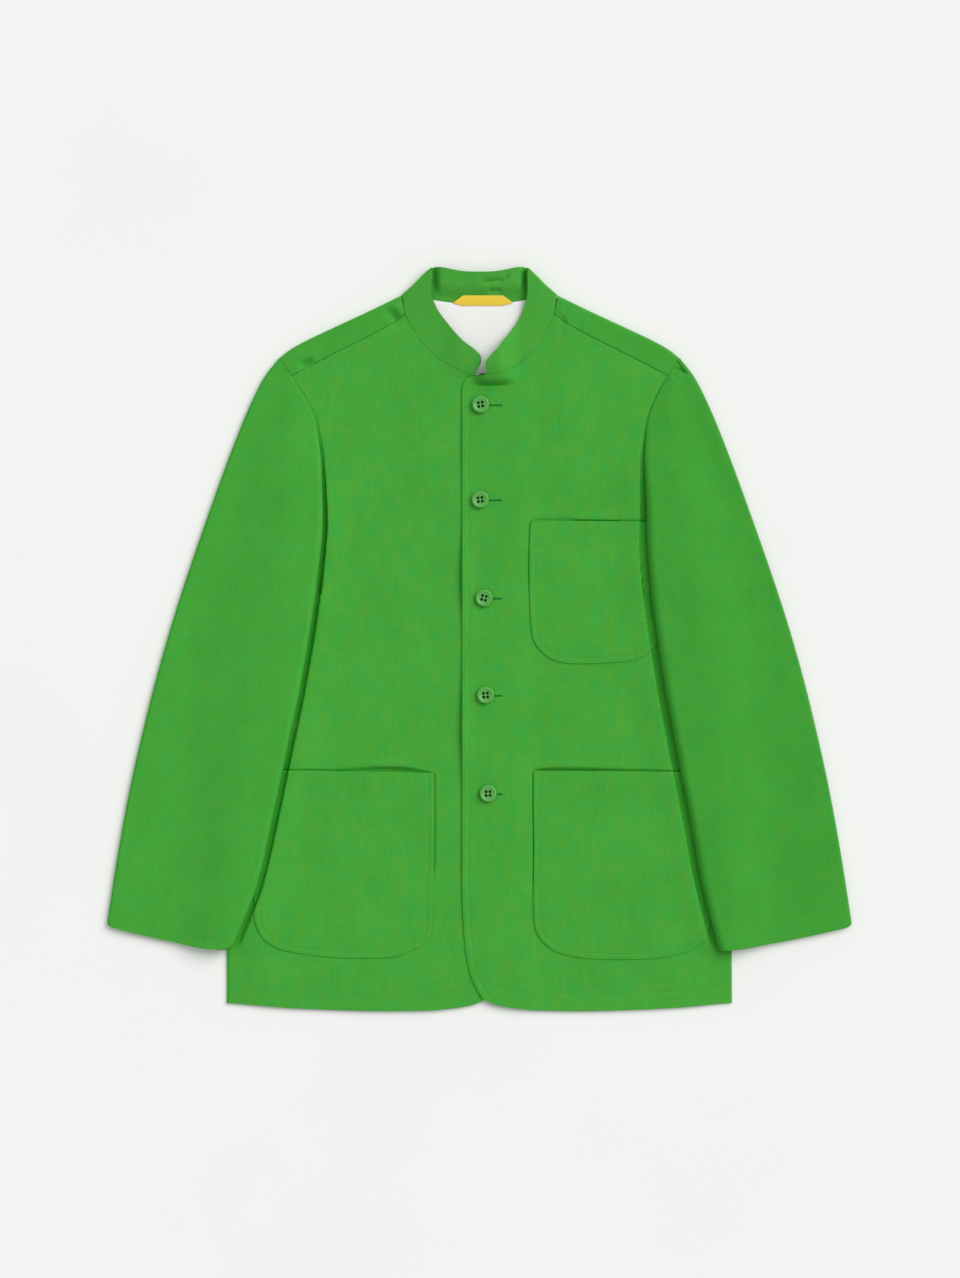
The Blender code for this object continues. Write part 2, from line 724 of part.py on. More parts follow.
def button_blank(name, group):
    """A turned button: flat below, a rounded rim and a sunk middle."""
    profile = [
        (0.0, BUTTON_HEIGHT - BUTTON_WELL),
        (BUTTON_RADIUS - BUTTON_RIM - BUTTON_CHAMFER, BUTTON_HEIGHT - BUTTON_WELL),
        (BUTTON_RADIUS - BUTTON_RIM, BUTTON_HEIGHT),
        (BUTTON_RADIUS - BUTTON_CHAMFER, BUTTON_HEIGHT),
        (BUTTON_RADIUS, BUTTON_HEIGHT - BUTTON_CHAMFER),
        (BUTTON_RADIUS, BUTTON_CHAMFER),
        (BUTTON_RADIUS - BUTTON_CHAMFER, 0.0),
        (0.0, 0.0),
    ]
    shape = bmesh.new()
    points = [shape.verts.new((r * MM, 0, z * MM)) for r, z in profile]
    for start, end in zip(points, points[1:]):
        shape.edges.new((start, end))
    mesh = bpy.data.meshes.new(name)
    shape.to_mesh(mesh)
    shape.free()
    made = bpy.data.objects.new(name, mesh)
    group.objects.link(made)
    turn = made.modifiers.new("Turn", "SCREW")
    turn.steps = turn.render_steps = 20
    turn.use_merge_vertices = True
    turn.merge_threshold = 0.00001
    return made


def button_drill(group):
    """Four posts that cut the sewing holes, in one cutter."""
    shape = bmesh.new()
    for across in (-1, 1):
        for up in (-1, 1):
            made = bmesh.ops.create_cone(shape, cap_ends=True, segments=8, depth=4 * BUTTON_HEIGHT * MM,
                                         radius1=BUTTON_HOLE_RADIUS * MM, radius2=BUTTON_HOLE_RADIUS * MM)
            shift = (across * BUTTON_HOLE_OFFSET * MM, up * BUTTON_HOLE_OFFSET * MM, 0)
            bmesh.ops.translate(shape, verts=made["verts"], vec=shift)
    mesh = bpy.data.meshes.new("button_drill")
    shape.to_mesh(mesh)
    shape.free()
    drill = bpy.data.objects.new("button_drill", mesh)
    drill.hide_render = True
    drill.display_type = "WIRE"
    group.objects.link(drill)
    return drill


def button(index, spot, parts, cutters, paint):
    made = button_blank(f"button_{index}", parts)
    drill = button_drill(cutters)
    seat = front_height(spot.x, spot.y, 1) + LAYER_GAP
    for item in (made, drill):
        item.location = (spot.x * MM, spot.y * MM, seat * MM)
    holes = made.modifiers.new("Holes", "BOOLEAN")
    holes.operation = "DIFFERENCE"
    holes.object = drill
    made.data.materials.append(paint)


sleeve_at = track(SLEEVE)
fold_at = track(SHOULDER_FOLD)
seam_at = track(SHOULDER_SEAM)
band_at = track(COLLAR_FRONT)


def main():
    clear_scene()
    parts, cutters = new_collection("linen_jacket"), new_collection("cutters")
    linen = material("green_linen", (0.063, 0.352, 0.043), 0.85)
    lining = material("white_lining", (0.86, 0.86, 0.82), 0.6)
    label = material("yellow_label", (0.82, 0.58, 0.05), 0.7)
    plastic = material("green_button", (0.13, 0.37, 0.1), 0.4)

    sheet("back", back_columns(), SHELL, True, parts, linen)
    for name, side in SIDES.items():
        sheet(f"front_{name}", mirrored(front_rows(side), side), SHELL, True, parts, linen)
        upper = [sleeve_top_row(along, side) for along in SLEEVE_ROWS]
        sheet(f"sleeve_{name}_upper", mirrored(upper, side), SHELL, True, parts, linen)
        under = [sleeve_under_row(along, side) for along in SLEEVE_ROWS if along >= UNDERARM_ALONG]
        sheet(f"sleeve_{name}_under", mirrored(under, side), SHELL, False, parts, linen)
    sheet("collar", collar_rows(), COLLAR_WALL, True, parts, linen)
    sheet("back_lining", lining_rows(), LINING_WALL, True, parts, lining)
    neck_label(parts, label)
    for pocket in POCKETS:
        sheet(pocket.name, pocket_rows(pocket), SHELL, True, parts, linen)
    for index, spot in enumerate(BUTTONS, 1):
        button(index, spot, parts, cutters, plastic)


main()
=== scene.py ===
"""Looks of the linen jacket: cloth, sewing, buttons, floor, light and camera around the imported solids.

X runs across the jacket to the wearer's left, Y from the hem to the collar and Z up from the floor.
Tables and sizes are in millimetres, as in the part's source, and MM turns them into metres.
"""

from collections import namedtuple
from math import cos, pi, radians, sin

import bmesh
import bpy
import numpy as np
from mathutils import Matrix, Vector


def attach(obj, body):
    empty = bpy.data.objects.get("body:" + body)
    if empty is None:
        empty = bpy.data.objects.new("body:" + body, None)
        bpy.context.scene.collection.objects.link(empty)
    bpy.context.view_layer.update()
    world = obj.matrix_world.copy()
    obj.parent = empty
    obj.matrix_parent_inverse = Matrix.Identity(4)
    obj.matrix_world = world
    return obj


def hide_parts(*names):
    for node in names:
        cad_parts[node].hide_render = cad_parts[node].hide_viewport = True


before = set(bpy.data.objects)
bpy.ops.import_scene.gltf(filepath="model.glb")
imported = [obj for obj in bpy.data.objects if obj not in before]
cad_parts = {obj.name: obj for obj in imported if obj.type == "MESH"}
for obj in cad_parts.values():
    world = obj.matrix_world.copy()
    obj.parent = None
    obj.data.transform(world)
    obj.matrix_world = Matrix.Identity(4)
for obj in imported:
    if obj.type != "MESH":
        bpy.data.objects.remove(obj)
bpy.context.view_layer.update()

MM = 0.001

# Cloth and the clearances between its layers
SHELL = 1.2
COLLAR_WALL = 1.8
LINING_WALL = 1.0
LABEL_WALL = 0.8
SEAM_GAP = 0.15
LAYER_GAP = 0.3
RIM = 0.4
COLLAR_RIM = 0.2
LABEL_RIM = 0.25
POCKET_WALL = 0.8
POCKET_GAP = 0.2
SHOULDER_GAP = 0.4

# Body, seen from above
SIDE_X = 265.0
UNDERARM_X = 262.0
HEM_CORNER_Y = -382.0
BACK_HEM_MIDDLE_Y = -375.0
UNDERARM_Y = 23.0
CENTRE_FRONT_X = 5.25
BUTTON_STAND = 23.4
BACK_INSET = 3.2
UNDERARM_SHARE = 0.62
STAND_SHARE = 0.1
STAND_ROUNDING = 12.4
STAND_BEND_SHARE = 0.6
STAND_TIP = {1: 0.0, -1: 2.8}
STAND_TIP_AT = 0.765
STAND_TIP_REACH = 0.1
NECK_SHARE = 0.5
BACK_NECK_SHARE = 0.4
UNDERARM_BLEND = 0.2
SHOULDER_BLEND = 0.15

# Body, heights of its upper face
BODY_TOP = 6.2
SIDE_TOP = 3.5
HEM_TOP = 2.9
HEM_RISE = 90.0
HEM_LEAST = 0.25
SIDE_RISE = 44.0
SIDE_ROLL = 3.0
SIDE_ROLL_MOST = 0.6
OVERLAP_LIFT = 1.45
OVERLAP_END = 36.0
OVERLAP_FADE = 30.0
SHOULDER_ROLL = BODY_TOP / 2

# Sleeves
OUTER_ROLL = 2.9
SLEEVE_INNER_ROOM = 1.9
SLEEVE_OUTER_ROOM = 3.4
SLEEVE_FALL_START = 0.5
SLEEVE_FALL = 0.35
SLEEVE_FALL_END = 0.97
UNDERARM_ALONG = 0.44
HEAD_LIFT_START = 0.36
SLEEVE_GRAIN = radians(73.0)
SLEEVE_LENGTH = 640.0
SLEEVE_PUFF = 2.6
PUFF_START = 0.06
PUFF_RISE = 0.2
PUFF_END = 0.8
INNER_ROUND = {1: 2.6, -1: 1.7}
CREASE_INSET = 4.0
CUFF_BOW = 2.2
CUFF_BOW_START = 0.86
CUFF_CORNER = 5.0
CUFF_INNER_CORNER = {1: 3.0, -1: 10.0}
OUTER_BULGE = {1: 1.1, -1: 0.0}
OUTER_BULGE_ALONG = 0.5
OUTER_BULGE_REACH = 0.22
EDGE_SAG = 2.4
SAG_START = 0.12
SAG_RISE = 0.13
UNDER_INSET = 2.6

# Where the fronts sink beside the sleeves that lie on them
SINK = 0.92
SINK_FLOOR = 2.75
SINK_BRINK = 1.5
SINK_UNDER = 9.0
SINK_RISE = 10.0
SINK_TOP_Y = 262.0
SINK_FADE = 140.0
SINK_END_Y = -336.0
SINK_END_FADE = 24.0
BRINK_RIDGE = 2.6
BRINK_REACH = 18.0

# Collar
COLLAR_SEAM_TOP = 6.4
COLLAR_EDGE_TOP = 7.4
COLLAR_FOLD_LIFT = 3.8
COLLAR_FOLD_FADE = 0.55
COLLAR_FOLD_ROUND = 2.1
COLLAR_TIP_ROUND = 0.6
COLLAR_TIP_START = 0.7
COLLAR_FOLD_END = 0.05
COLLAR_FOLD_BLEND = 0.2
COLLAR_SHOULDER_SHARE = 0.2
COLLAR_BACK_LIFT = 5.6
COLLAR_LIFT_END = 48.5
COLLAR_LIFT_FADE = 9.0
COLLAR_LIFT_START = 0.08
COLLAR_LIFT_RISE = 0.5

# How far the ends of the collar stand up, and the front with them
NECK_PINCH = {1: 13.0, -1: 2.4}
PINCH_TOP_Y = 289.0
PINCH_LOW_Y = {1: 267.6, -1: 275.0}
PINCH_END = 43.0
PINCH_FADE = 24.0
PINCH_START = -9.0
PINCH_RISE = 15.0

# Lining and tab
LINING_TOP_X = 66.0
LINING_BOTTOM_X = 104.0
LINING_BOTTOM_Y = 215.0
LABEL_X = 3.7
LABEL_Z = 2.8
LABEL_BOW = 0.25

# Pockets, and the troughs in the fronts behind their mouths
POCKET_HEM = 27.0
POCKET_STRAIGHT_END = 4
POCKET_FINE = 2.2
POCKET_LINE_FINE = 2.5
MOUTH_LEAN = 0.6
MOUTH_DEPTH = 30.0
LEAN_FADE = 60.0
MOUTH_LINE = 0.6
MOUTH_LINE_DEPTH = 1.6
MOUTH_CORNER = 5.0
MOUTH_EDGE = 1.4
MOUTH_UNDER = 16.0
MOUTH_RISE = 11.2
MOUTH_RIDGE = 0.7
MOUTH_RIDGE_WIDTH = 4.0
DITCH = 1.1
DITCH_WIDTH = 1.3
DITCH_FADE = 25.0
DITCH_TOP_FADE = 3.0

# Buttons and buttonholes
BUTTON_HOLE_RADIUS = 1.55
BUTTON_HOLE_OFFSET = 2.05
BUTTON_HOLE_FLOOR = 1.1
BUTTON_LIFT = 1.1
BUTTON_THREAD_Z = 2.45
BUTTON_THREAD_LENGTH = 2.96
BUTTON_SOFTENING = 0.12
HOLE_CLEARANCE = 0.05
HOLE_FLOOR_LIFT = 0.1
BUTTONHOLE_START = -0.6
BUTTONHOLE_END = 23.4
BUTTONHOLE_DROP = 0.7
BUTTONHOLE_PITCH = 0.42
BUTTONHOLE_STITCH = 1.15
BUTTONHOLE_SIDE = 0.72
BUTTONHOLE_BAR = 2.6
BAR_OFFSET = 0.2
BAR_PITCH = 0.35
BUTTONHOLE_LIFT = 0.05
SLIT_HALF = 0.3
SLIT_SIDE_LIFT = 0.03
SLIT_LIFT = 0.09

# Sewing
EDGE_STITCH = 7.0
HEM_STITCH = 18.0
POCKET_STITCH = 5.6
STITCH_PITCH = 3.0
STITCH_LENGTH = 2.35
THREAD_RADIUS = 0.24
THREAD_LIFT = 0.3 * THREAD_RADIUS
THREAD_SIDES = 6
STITCH_DIP = 0.34
SEWN_BELOW_TOP = 5.0
GROOVE_DEPTH = 0.3
HEM_GROOVE_DEPTH = 0.18
GROOVE_WIDTH = 1.1
TURNED_EDGE = 0.22
TURNED_EDGE_WIDTH = 2.4

# Surfaces are sampled this far apart
FINE = 3.0
COARSE = 6.0

# Light and camera
FRAME_HEIGHT = 1.3419
LENS = 100.0
SENSOR = 36.0
KEY_SHARE = 0.44
KEY_TURN = radians(36.0)
KEY_CLIMB = radians(40.0)
KEY_SOFTNESS = radians(42.0)

# Painted shade: in hollows the linen's colour is darkened to a deeper green, standing in for light going
# from cloth to cloth
PAINTED_SHADE_REACH = 14.0
PAINTED_SHADE_TINT = (0.4, 1.05, 0.35, 1.0)

# The wearer's left is at +X
SIDES = {"left": 1, "right": -1}

Point = namedtuple("Point", "share x y")
Sleeve = namedtuple("Sleeve", "along outer_x outer_y inner_x inner_y skew wrap edge_z drop roll body_share")
Band = namedtuple("Band", "share seam_x seam_y edge_x edge_y")
Outline = namedtuple("Outline", "mark y inner_x outer_x")
Mouth = namedtuple("Mouth", "start end lean arch depth")
Pocket = namedtuple("Pocket", "name side lean gape mouth outline")

SLEEVE = [
    (0, 209.9, 295, 197.4, 275.7, 0, 4, 5, 0.5, 1, 0.5),
    (0.03, 224.5, 276.2, 185.3, 257.1, 1, 18, 4.7, 0.6, 1.7, 0.5),
    (0.08, 239.9, 246.3, 173.5, 226.9, 1.8, 45, 5.2, 0.8, 2, 0.5),
    (0.16, 259.4, 198.8, 169.1, 178.7, 3.7, 70, 6.8, 1, 2.6, 0.52),
    (0.25, 279.1, 145.1, 169.4, 124.4, 5.4, 84, 8.4, 1.2, 3, 0.55),
    (0.36, 301.9, 79.7, 174.5, 58.2, 4.2, 76, 8.4, 1.2, 3, 0.6),
    (0.44, 317.5, 32.1, 181, 10, 3.8, 52, 8.4, 1.2, 3, 0.59),
    (0.55, 336.8, -33.5, 192, -56.4, 3, 32, 8.4, 1.2, 3, 0.48),
    (0.62, 347.6, -75.1, 200.4, -98.6, 2.6, 28, 8.4, 1.2, 3, 0.42),
    (0.76, 366.8, -158.4, 217.5, -182.9, 2, 26, 8.4, 1.2, 3, 0.31),
    (0.88, 379.9, -230, 232.3, -255.3, 0.3, 26, 8.4, 1.2, 3, 0.21),
    (1, 391.1, -301.4, 255.6, -327.6, -4.6, 26, 8.4, 1.2, 3, 0.08),
]
# Grooves in the fronts beside the sleeves: height up the jacket and width
GROOVES = {
    1: [(250, 3.0), (219, 4.2), (135, 6.8), (90, 9.2), (20, 9.2), (-40, 8.6), (-200, 8.4), (-300, 7.5)],
    -1: [(250, 2.6), (190, 3.5), (150, 4.6), (115, 5.2), (20, 5.5), (-60, 5.8), (-170, 6.2), (-300, 5.8)],
}

# Lines of the body: share along the line, x and y
FRONT_HEM_END = SIDE_X - SIDE_ROLL - CENTRE_FRONT_X + BUTTON_STAND
FRONT_HEM = [
    (0, 21.3, -377.6),
    (0.07, 34, -383.4),
    (0.15, 52, -387),
    (0.26, 82, -389.8),
    (0.4, 122, -390.4),
    (0.7, 206, -388),
    (1, FRONT_HEM_END, HEM_CORNER_Y),
]
FRONT_EDGE_TOP = 261.4
FRONT_EDGE = [
    (0, 21.3, -377.6),
    (0.018, 14.8, -366),
    (0.048, 7.6, -348),
    (0.083, 3.6, -325),
    (0.121, 1.4, -300),
    (0.19, 0, -255),
    (1, 0, FRONT_EDGE_TOP),
]
SHOULDER_SEAM = [
    (0, 78.2, 340.2),
    (0.09, 86.6, 333.9),
    (0.28, 110.3, 320.3),
    (0.6, 151.2, 299.8),
    (1, 197.3, 275.7),
]
SHOULDER_FOLD = [
    (0, 81.9, 360.2),
    (0.07, 90.8, 356),
    (0.24, 112.4, 345.5),
    (0.6, 157.5, 324.5),
    (0.78, 179.6, 314),
    (0.92, 198.5, 303.5),
    (1, 209.6, 294.7),
]
SIDE_SEAM = [
    (0, SIDE_X - SIDE_ROLL, HEM_CORNER_Y),
    (0.2, SIDE_X - SIDE_ROLL - 0.5, -300),
    (1, UNDERARM_X - SIDE_ROLL, UNDERARM_Y),
]
LOW_ARMHOLE = [
    (0, UNDERARM_X - SIDE_ROLL, UNDERARM_Y),
    (0.25, 232, 30),
    (0.55, 203, 52),
    (0.8, 184, 85),
]
LOW_ARMHOLE_TOP_ALONG = 0.25
LOW_ARMHOLE_SHARE = 0.42

# The collar's fronts, from the fold to their ends
COLLAR_FRONT = {
    1: [
        (0, 81.9, 360.2, 51, 387.8),
        (0.1, 80.4, 350.2, 50.8, 376.2),
        (0.2, 78.2, 340.2, 50.4, 364.8),
        (0.35, 73, 329, 47.2, 349),
        (0.55, 62.6, 308.5, 39, 330),
        (0.75, 46, 291.4, 26.4, 312.5),
        (0.88, 30.4, 281, 16.2, 301.2),
        (0.95, 20.7, 277, 9.6, 294.4),
        (1, 7.8, 275.4, 6.3, 288.8),
    ],
    -1: [
        (0, 81.9, 360.2, 52.5, 387.6),
        (0.1, 80.4, 350.2, 51.9, 376.2),
        (0.2, 78.2, 340.2, 51.2, 364.8),
        (0.35, 72, 329, 45.9, 349),
        (0.55, 58.4, 308.5, 32.9, 330),
        (0.75, 38, 291.4, 17, 312.5),
        (0.88, 20.6, 281, 2.8, 301.4),
        (0.95, 10.3, 277, -1.4, 296.5),
        (1, 4.9, 276, -2.1, 290.5),
    ],
}
# Outline of the fold between the back and the front of the collar, from its seam to its edge
COLLAR_FOLD = [
    (0, 82, 360.6),
    (0.2, 75.6, 366.2),
    (0.4, 69.4, 371.6),
    (0.6, 63.3, 377.8),
    (0.8, 57, 384),
    (0.92, 53.2, 387.4),
    (1, 50.6, 389.3),
]
# Half of the back of the collar, from its middle to the fold
COLLAR_BACK = [
    (0, 0, 352.3, 0, 385),
    (0.2, 16.1, 352.6, 11, 385.25),
    (0.36, 28.9, 353.3, 19.5, 386),
    (0.5, 40.2, 354.7, 27.5, 387.4),
    (0.6, 48, 356, 34.5, 388.9),
    (0.72, 58, 357.3, 40.4, 389.9),
    (0.82, 66, 358.1, 44, 390.15),
    (0.91, 73.2, 358.6, 47, 390),
    (0.96, 77.2, 358.8, 48.8, 389.6),
    (1, 80.5, 359, 50.2, 388.9),
]

# Pockets from the mouth down: y, inner x and outer x
CHEST_OUTLINE = [
    (124.4, 55, 190.5), (121.5, 53.9, 190.5), (104, 52.7, 190.5), (75, 52.2, 190.5),
    (41, 52.7, 190.5), (15, 54, 190), (2, 55.8, 188), (-6, 59.2, 184.4),
    (-12, 63.9, 179.5), (-16.5, 68.6, 173.5), (-20.2, 73.6, 166.5), (-22.6, 79.3, 158),
    (-24.2, 84.9, 142), (-25.2, 92.5, 127), (-25.7, 103, 112),
]
HIP_LEFT_OUTLINE = [
    (-138.2, 57.6, 243), (-141.5, 56.7, 243), (-170, 56.7, 243), (-221, 57.2, 243),
    (-270, 56.6, 243), (-292, 57.1, 242.3), (-302.4, 58.3, 240.8), (-308.5, 60.7, 239),
    (-314, 63.5, 236.8), (-319.2, 68.8, 231.5), (-324, 74.2, 224.5), (-327.5, 80, 217.5),
    (-330, 86.9, 209.5), (-332.3, 95.7, 200), (-334, 106, 189), (-335.2, 120, 179),
    (-335.8, 138, 158),
]
HIP_RIGHT_OUTLINE = [
    (-140.3, 48.9, 236.5), (-143.5, 47.8, 236.5), (-170, 47.4, 236.5), (-215, 47.6, 236.5),
    (-260, 48.6, 236.5), (-290, 49.1, 236), (-303, 49.7, 233), (-309.8, 50.9, 229.5),
    (-314.5, 53.3, 226.3), (-318.5, 57.2, 221.6), (-322.4, 61.4, 215), (-325.5, 68.8, 207.5),
    (-328.2, 75.3, 196), (-331, 81.7, 177), (-332.8, 89.5, 163.5), (-334, 101, 144),
    (-334.5, 115, 132),
]
CHEST_MOUTH = Mouth(60, 190, 0.6, 0.4, 1.0)
HIP_LEFT_MOUTH = Mouth(58, 215, 0.42, 1.9, 2.8)
HIP_RIGHT_MOUTH = Mouth(56, 150, 0.72, 4.2, 3.2)

# Buttons from the top: x, y and turn in degrees
BUTTONS = [(1.0, 245.7, 8), (0.6, 146.0, 6), (4.6, 43.0, -14), (6.3, -58.8, 4), (8.9, -161.8, 2)]

# The tab: y and half its width
LABEL = [(349.7, 21.0), (352.6, 31.8), (360.5, 21.0)]

# A button from its middle outwards and down to its back: radius and height
BUTTON_PROFILE = [
    (0, 2.35), (4.9, 2.35), (5.7, 2.5), (6.4, 2.95), (7.05, 3.17), (7.7, 3.2), (8.35, 2.98),
    (8.85, 2.45), (9, 1.8), (8.8, 1.1), (8, 0.4), (6.6, 0), (0, 0),
]
DRILL_LOW = -4.0
DRILL_HIGH = 8.0

# How the cloth lies. Long low swells: length, turn, phase and height
SWELLS = [(223, 76, 0.4, 0.17), (141, 9, 2.1, 0.13), (93, 121, 4.0, 0.09), (57, 38, 1.2, 0.05)]
# Soft troughs and ridges: x, y, turn, length, width, height and bow
BODY_CREASES = [
    (-74, 158, 93, 120, 9, -0.34, 4), (-111, 112, 84, 86, 11, -0.28, -3),
    (-110, 314, 24, 34, 9, 0.42, 2), (-146, 62, 102, 130, 13, 0.3, 5),
    (-92, -20, 88, 160, 15, -0.22, -6), (-152, -96, 70, 84, 9, -0.26, 3),
    (-60, 226, 118, 70, 8, 0.26, 2), (-38, -236, 96, 90, 10, 0.18, 3), (-205, -352, 8, 70, 9, 0.3, 2),
    (60, 205, 70, 92, 10, -0.3, -4), (118, 262, 97, 80, 9, -0.34, 3), (88, 240, 104, 58, 8, 0.24, -2),
    (142, 172, 86, 76, 11, 0.26, 4), (90, -84, 83, 96, 13, -0.24, 5), (40, -116, 98, 120, 10, 0.2, -3),
    (160, -100, 112, 70, 9, -0.24, 2), (36, -300, 92, 70, 9, -0.2, 2),
    (208, -354, 174, 64, 9, 0.28, -2), (120, -364, 4, 90, 8, -0.16, 2),
    (12, 267.6, 0, 50, 2.2, -2, 0), (12, 263.6, 0, 42, 2.4, 0.8, 0),
]
# Dents at the ends of the shoulder seams and beside the sleeve heads
SHOULDER_CREASES = [
    (-93, 341, 127, 34, 4.4, -3.4, 0), (-85.5, 346.5, 127, 24, 3, 1.6, 0),
    (87.5, 335, 96, 12, 2.6, -2, 0), (85.5, 347, 92, 20, 2.4, 1, 0),
    (86, 318, 92, 30, 3.6, -0.7, 1), (94, 330, 100, 22, 4, 0.5, 0),
    (-182, 289.5, 24, 19, 3, -3.8, 0), (-176, 296, 28, 26, 4, 1, 0),
    (211, 287, 112, 28, 3.6, -2, 0), (212, 281, -17, 34, 2, -1.7, 0),
    (214, 276.5, -17, 28, 2.6, 0.7, 0), (205, 280, 40, 14, 2.4, -1.4, 0),
]
SLEEVE_CREASES = {
    1: [
        (272, 42, 108, 180, 12, -0.42, 6), (226, 92, 98, 150, 14, 0.34, -5),
        (248, 150, 120, 70, 9, -0.3, 3), (300, -60, 104, 140, 13, 0.34, 5),
        (236, -52, 100, 110, 11, -0.26, -3), (262, -150, 96, 150, 12, 0.28, -4),
        (318, -196, 104, 120, 14, -0.36, 5), (284, -240, 88, 70, 9, -0.24, 2),
        (352, -150, 101, 130, 10, 0.28, 3), (300, 28, 14, 64, 10, -0.26, -3),
        (338, -118, 22, 52, 8, 0.24, 2),
    ],
    -1: [
        (-251, 18, 74, 170, 13, -0.42, -6), (-202, 66, 84, 170, 15, 0.38, 5),
        (-262, 122, 66, 90, 10, -0.3, -3), (-284, -72, 76, 120, 12, 0.3, 4),
        (-228, -96, 80, 130, 11, -0.24, 3), (-318, -150, 78, 150, 13, -0.32, -4),
        (-270, -196, 84, 120, 12, 0.32, 4), (-306, -260, 92, 70, 10, 0.24, -2),
        (-350, -196, 80, 110, 10, 0.26, 3), (-296, 40, 160, 58, 9, -0.24, 3),
        (-330, -92, 150, 46, 8, 0.22, -2),
    ],
}
# The back of the collar where it lies inside face up, marked by wear
COLLAR_CREASES = [
    (13, 375.5, 4, 30, 2.6, -2.4, 0), (26, 377.5, 40, 20, 2.6, -2, 0),
    (16, 366, 2, 18, 2.2, -2.8, 0), (-22, 372, 4, 44, 6, -0.4, 0),
]
# Where the overlapping front edge stands off the front below it: y, length and height
EDGE_LIFTS = [(66, 74, 3.0), (-92, 90, 2.9), (196, 60, 0.5), (-232, 70, 0.4)]
EDGE_LIFT_REACH = 8.0

# Points along the pieces: a length, their spacing, and closer stretches with start, end and spacing
FRONT_ACROSS = (290, 1.5 * FINE, (0, 29, 1.2), (68, 80, 1.0), (180, 290, 1.25))
FRONT_LOW = (405, 1.4 * FINE, (0, 26, 1.3), (226, 262, 1.4), (237, 251, 0.6))
FRONT_HIGH = (320, 1.4 * FINE, (104, 124, 0.5), (124, 150, 1.5), (297, 320, 0.9))
SLEEVE_ALONG = (SLEEVE_LENGTH, 1.3 * FINE, (0, 28, 1.5), (SLEEVE_LENGTH - 12, SLEEVE_LENGTH, 0.8))
QUARTER = [radians(a) for a in (15, 30, 45, 60, 75, 90)]
HALF = [radians(a) for a in range(15, 181, 15)]
COLLAR_HEIGHTS = np.concatenate([[0, 0.03, 0.07], np.linspace(0.12, 0.88, 19), [0.93, 0.97, 1.0]])


def outlined(rows):
    return [Outline(mark, *row) for mark, row in enumerate(rows)]


POCKETS = [
    Pocket("chest_pocket", 1, -1.5, 0.4, CHEST_MOUTH, outlined(CHEST_OUTLINE)),
    Pocket("hip_pocket_left", 1, -0.9, 1.0, HIP_LEFT_MOUTH, outlined(HIP_LEFT_OUTLINE)),
    Pocket("hip_pocket_right", -1, 3.6, 1.6, HIP_RIGHT_MOUTH, outlined(HIP_RIGHT_OUTLINE)),
]


# Curves through tables


def track(kind, rows):
    """A smooth curve through a table, without overshoot: gives every column at a value of the first."""
    table = np.array(rows, float)
    keys = table[:, 0]
    spans = np.diff(keys)[:, None]
    secants = np.diff(table, axis=0) / spans
    before, after = secants[:-1], secants[1:]
    near, far = spans[1:] + 2 * spans[:-1], 2 * spans[1:] + spans[:-1]
    same_way = before * after > 0
    before, after = np.where(same_way, before, 1.0), np.where(same_way, after, 1.0)
    slopes = np.vstack([secants[:1], secants])
    slopes[1:-1] = np.where(same_way, (near + far) / (far / before + near / after), 0.0)

    def at(key):
        key = np.asarray(key, float)
        low = np.clip(np.searchsorted(keys, key) - 1, 0, len(keys) - 2)
        span = (keys[low + 1] - keys[low])[..., None]
        s = (key - keys[low])[..., None] / span
        ease = s * s * (3 - 2 * s)
        bend = span * s * (1 - s) * ((1 - s) * slopes[low] - s * slopes[low + 1])
        found = table[low] * (1 - ease) + table[low + 1] * ease + bend
        return kind(*np.moveaxis(found, -1, 0))

    return at


sleeve_at = track(Sleeve, SLEEVE)
hem_at = track(Point, FRONT_HEM)
edge_at = track(Point, FRONT_EDGE)
fold_at = track(Point, SHOULDER_FOLD)
seam_at = track(Point, SHOULDER_SEAM)
side_at = track(Point, SIDE_SEAM)
collar_fold_at = track(Point, COLLAR_FOLD)
back_band_at = track(Band, COLLAR_BACK)
bands_at = {side: track(Band, rows) for side, rows in COLLAR_FRONT.items()}


def limit(value):
    return np.clip(value, 0.0, 1.0)


def beyond(value, start, end=1.0):
    """Share of the way from start to end."""
    return limit((value - start) / (end - start))


def smooth(value):
    """0 below 0 and 1 above 1, with a soft step between."""
    s = limit(value)
    return s * s * (3 - 2 * s)


def hump(value):
    """1 at 0, falling softly away on both sides."""
    return np.exp(-np.square(value))


def pair(x, y):
    """Places in plan."""
    return np.stack(np.broadcast_arrays(x, y), -1)


def plan(row):
    return pair(row.x, row.y)


def unit(vectors):
    return vectors / np.linalg.norm(vectors, axis=-1, keepdims=True)


def level(spots, heights):
    """Places in plan with their heights."""
    return np.concatenate([spots, np.broadcast_to(heights, spots.shape[:-1])[..., None]], -1)


def coons(us, vs, bottom, top, inner, outer):
    """The flat patch between four edges, which are rows of places."""
    u, v = us[None, :, None], vs[:, None, None]
    between = (1 - v) * bottom + v * top + (1 - u) * inner[:, None] + u * outer[:, None]
    low = (1 - u) * bottom[0] + u * bottom[-1]
    high = (1 - u) * top[0] + u * top[-1]
    return between - (1 - v) * low - v * high


def steps(total, spacing, *fine):
    """Shares from 0 to 1 along a length, closer together in each fine stretch (start, end, spacing)."""
    marks = np.linspace(0, total, max(2, round(total / spacing) + 1))
    for start, end, finest in fine:
        near = np.linspace(start, end, round((end - start) / finest) + 1)
        clear = (marks < start - finest / 2) | (marks > end + finest / 2)
        marks = np.sort(np.concatenate([marks[clear], near]))
    return marks / total


def joined(split, low, high):
    """Shares from 0 to 1 in two stretches that meet at the split."""
    return np.concatenate([steps(*low)[:-1] * split, split + steps(*high) * (1 - split)])


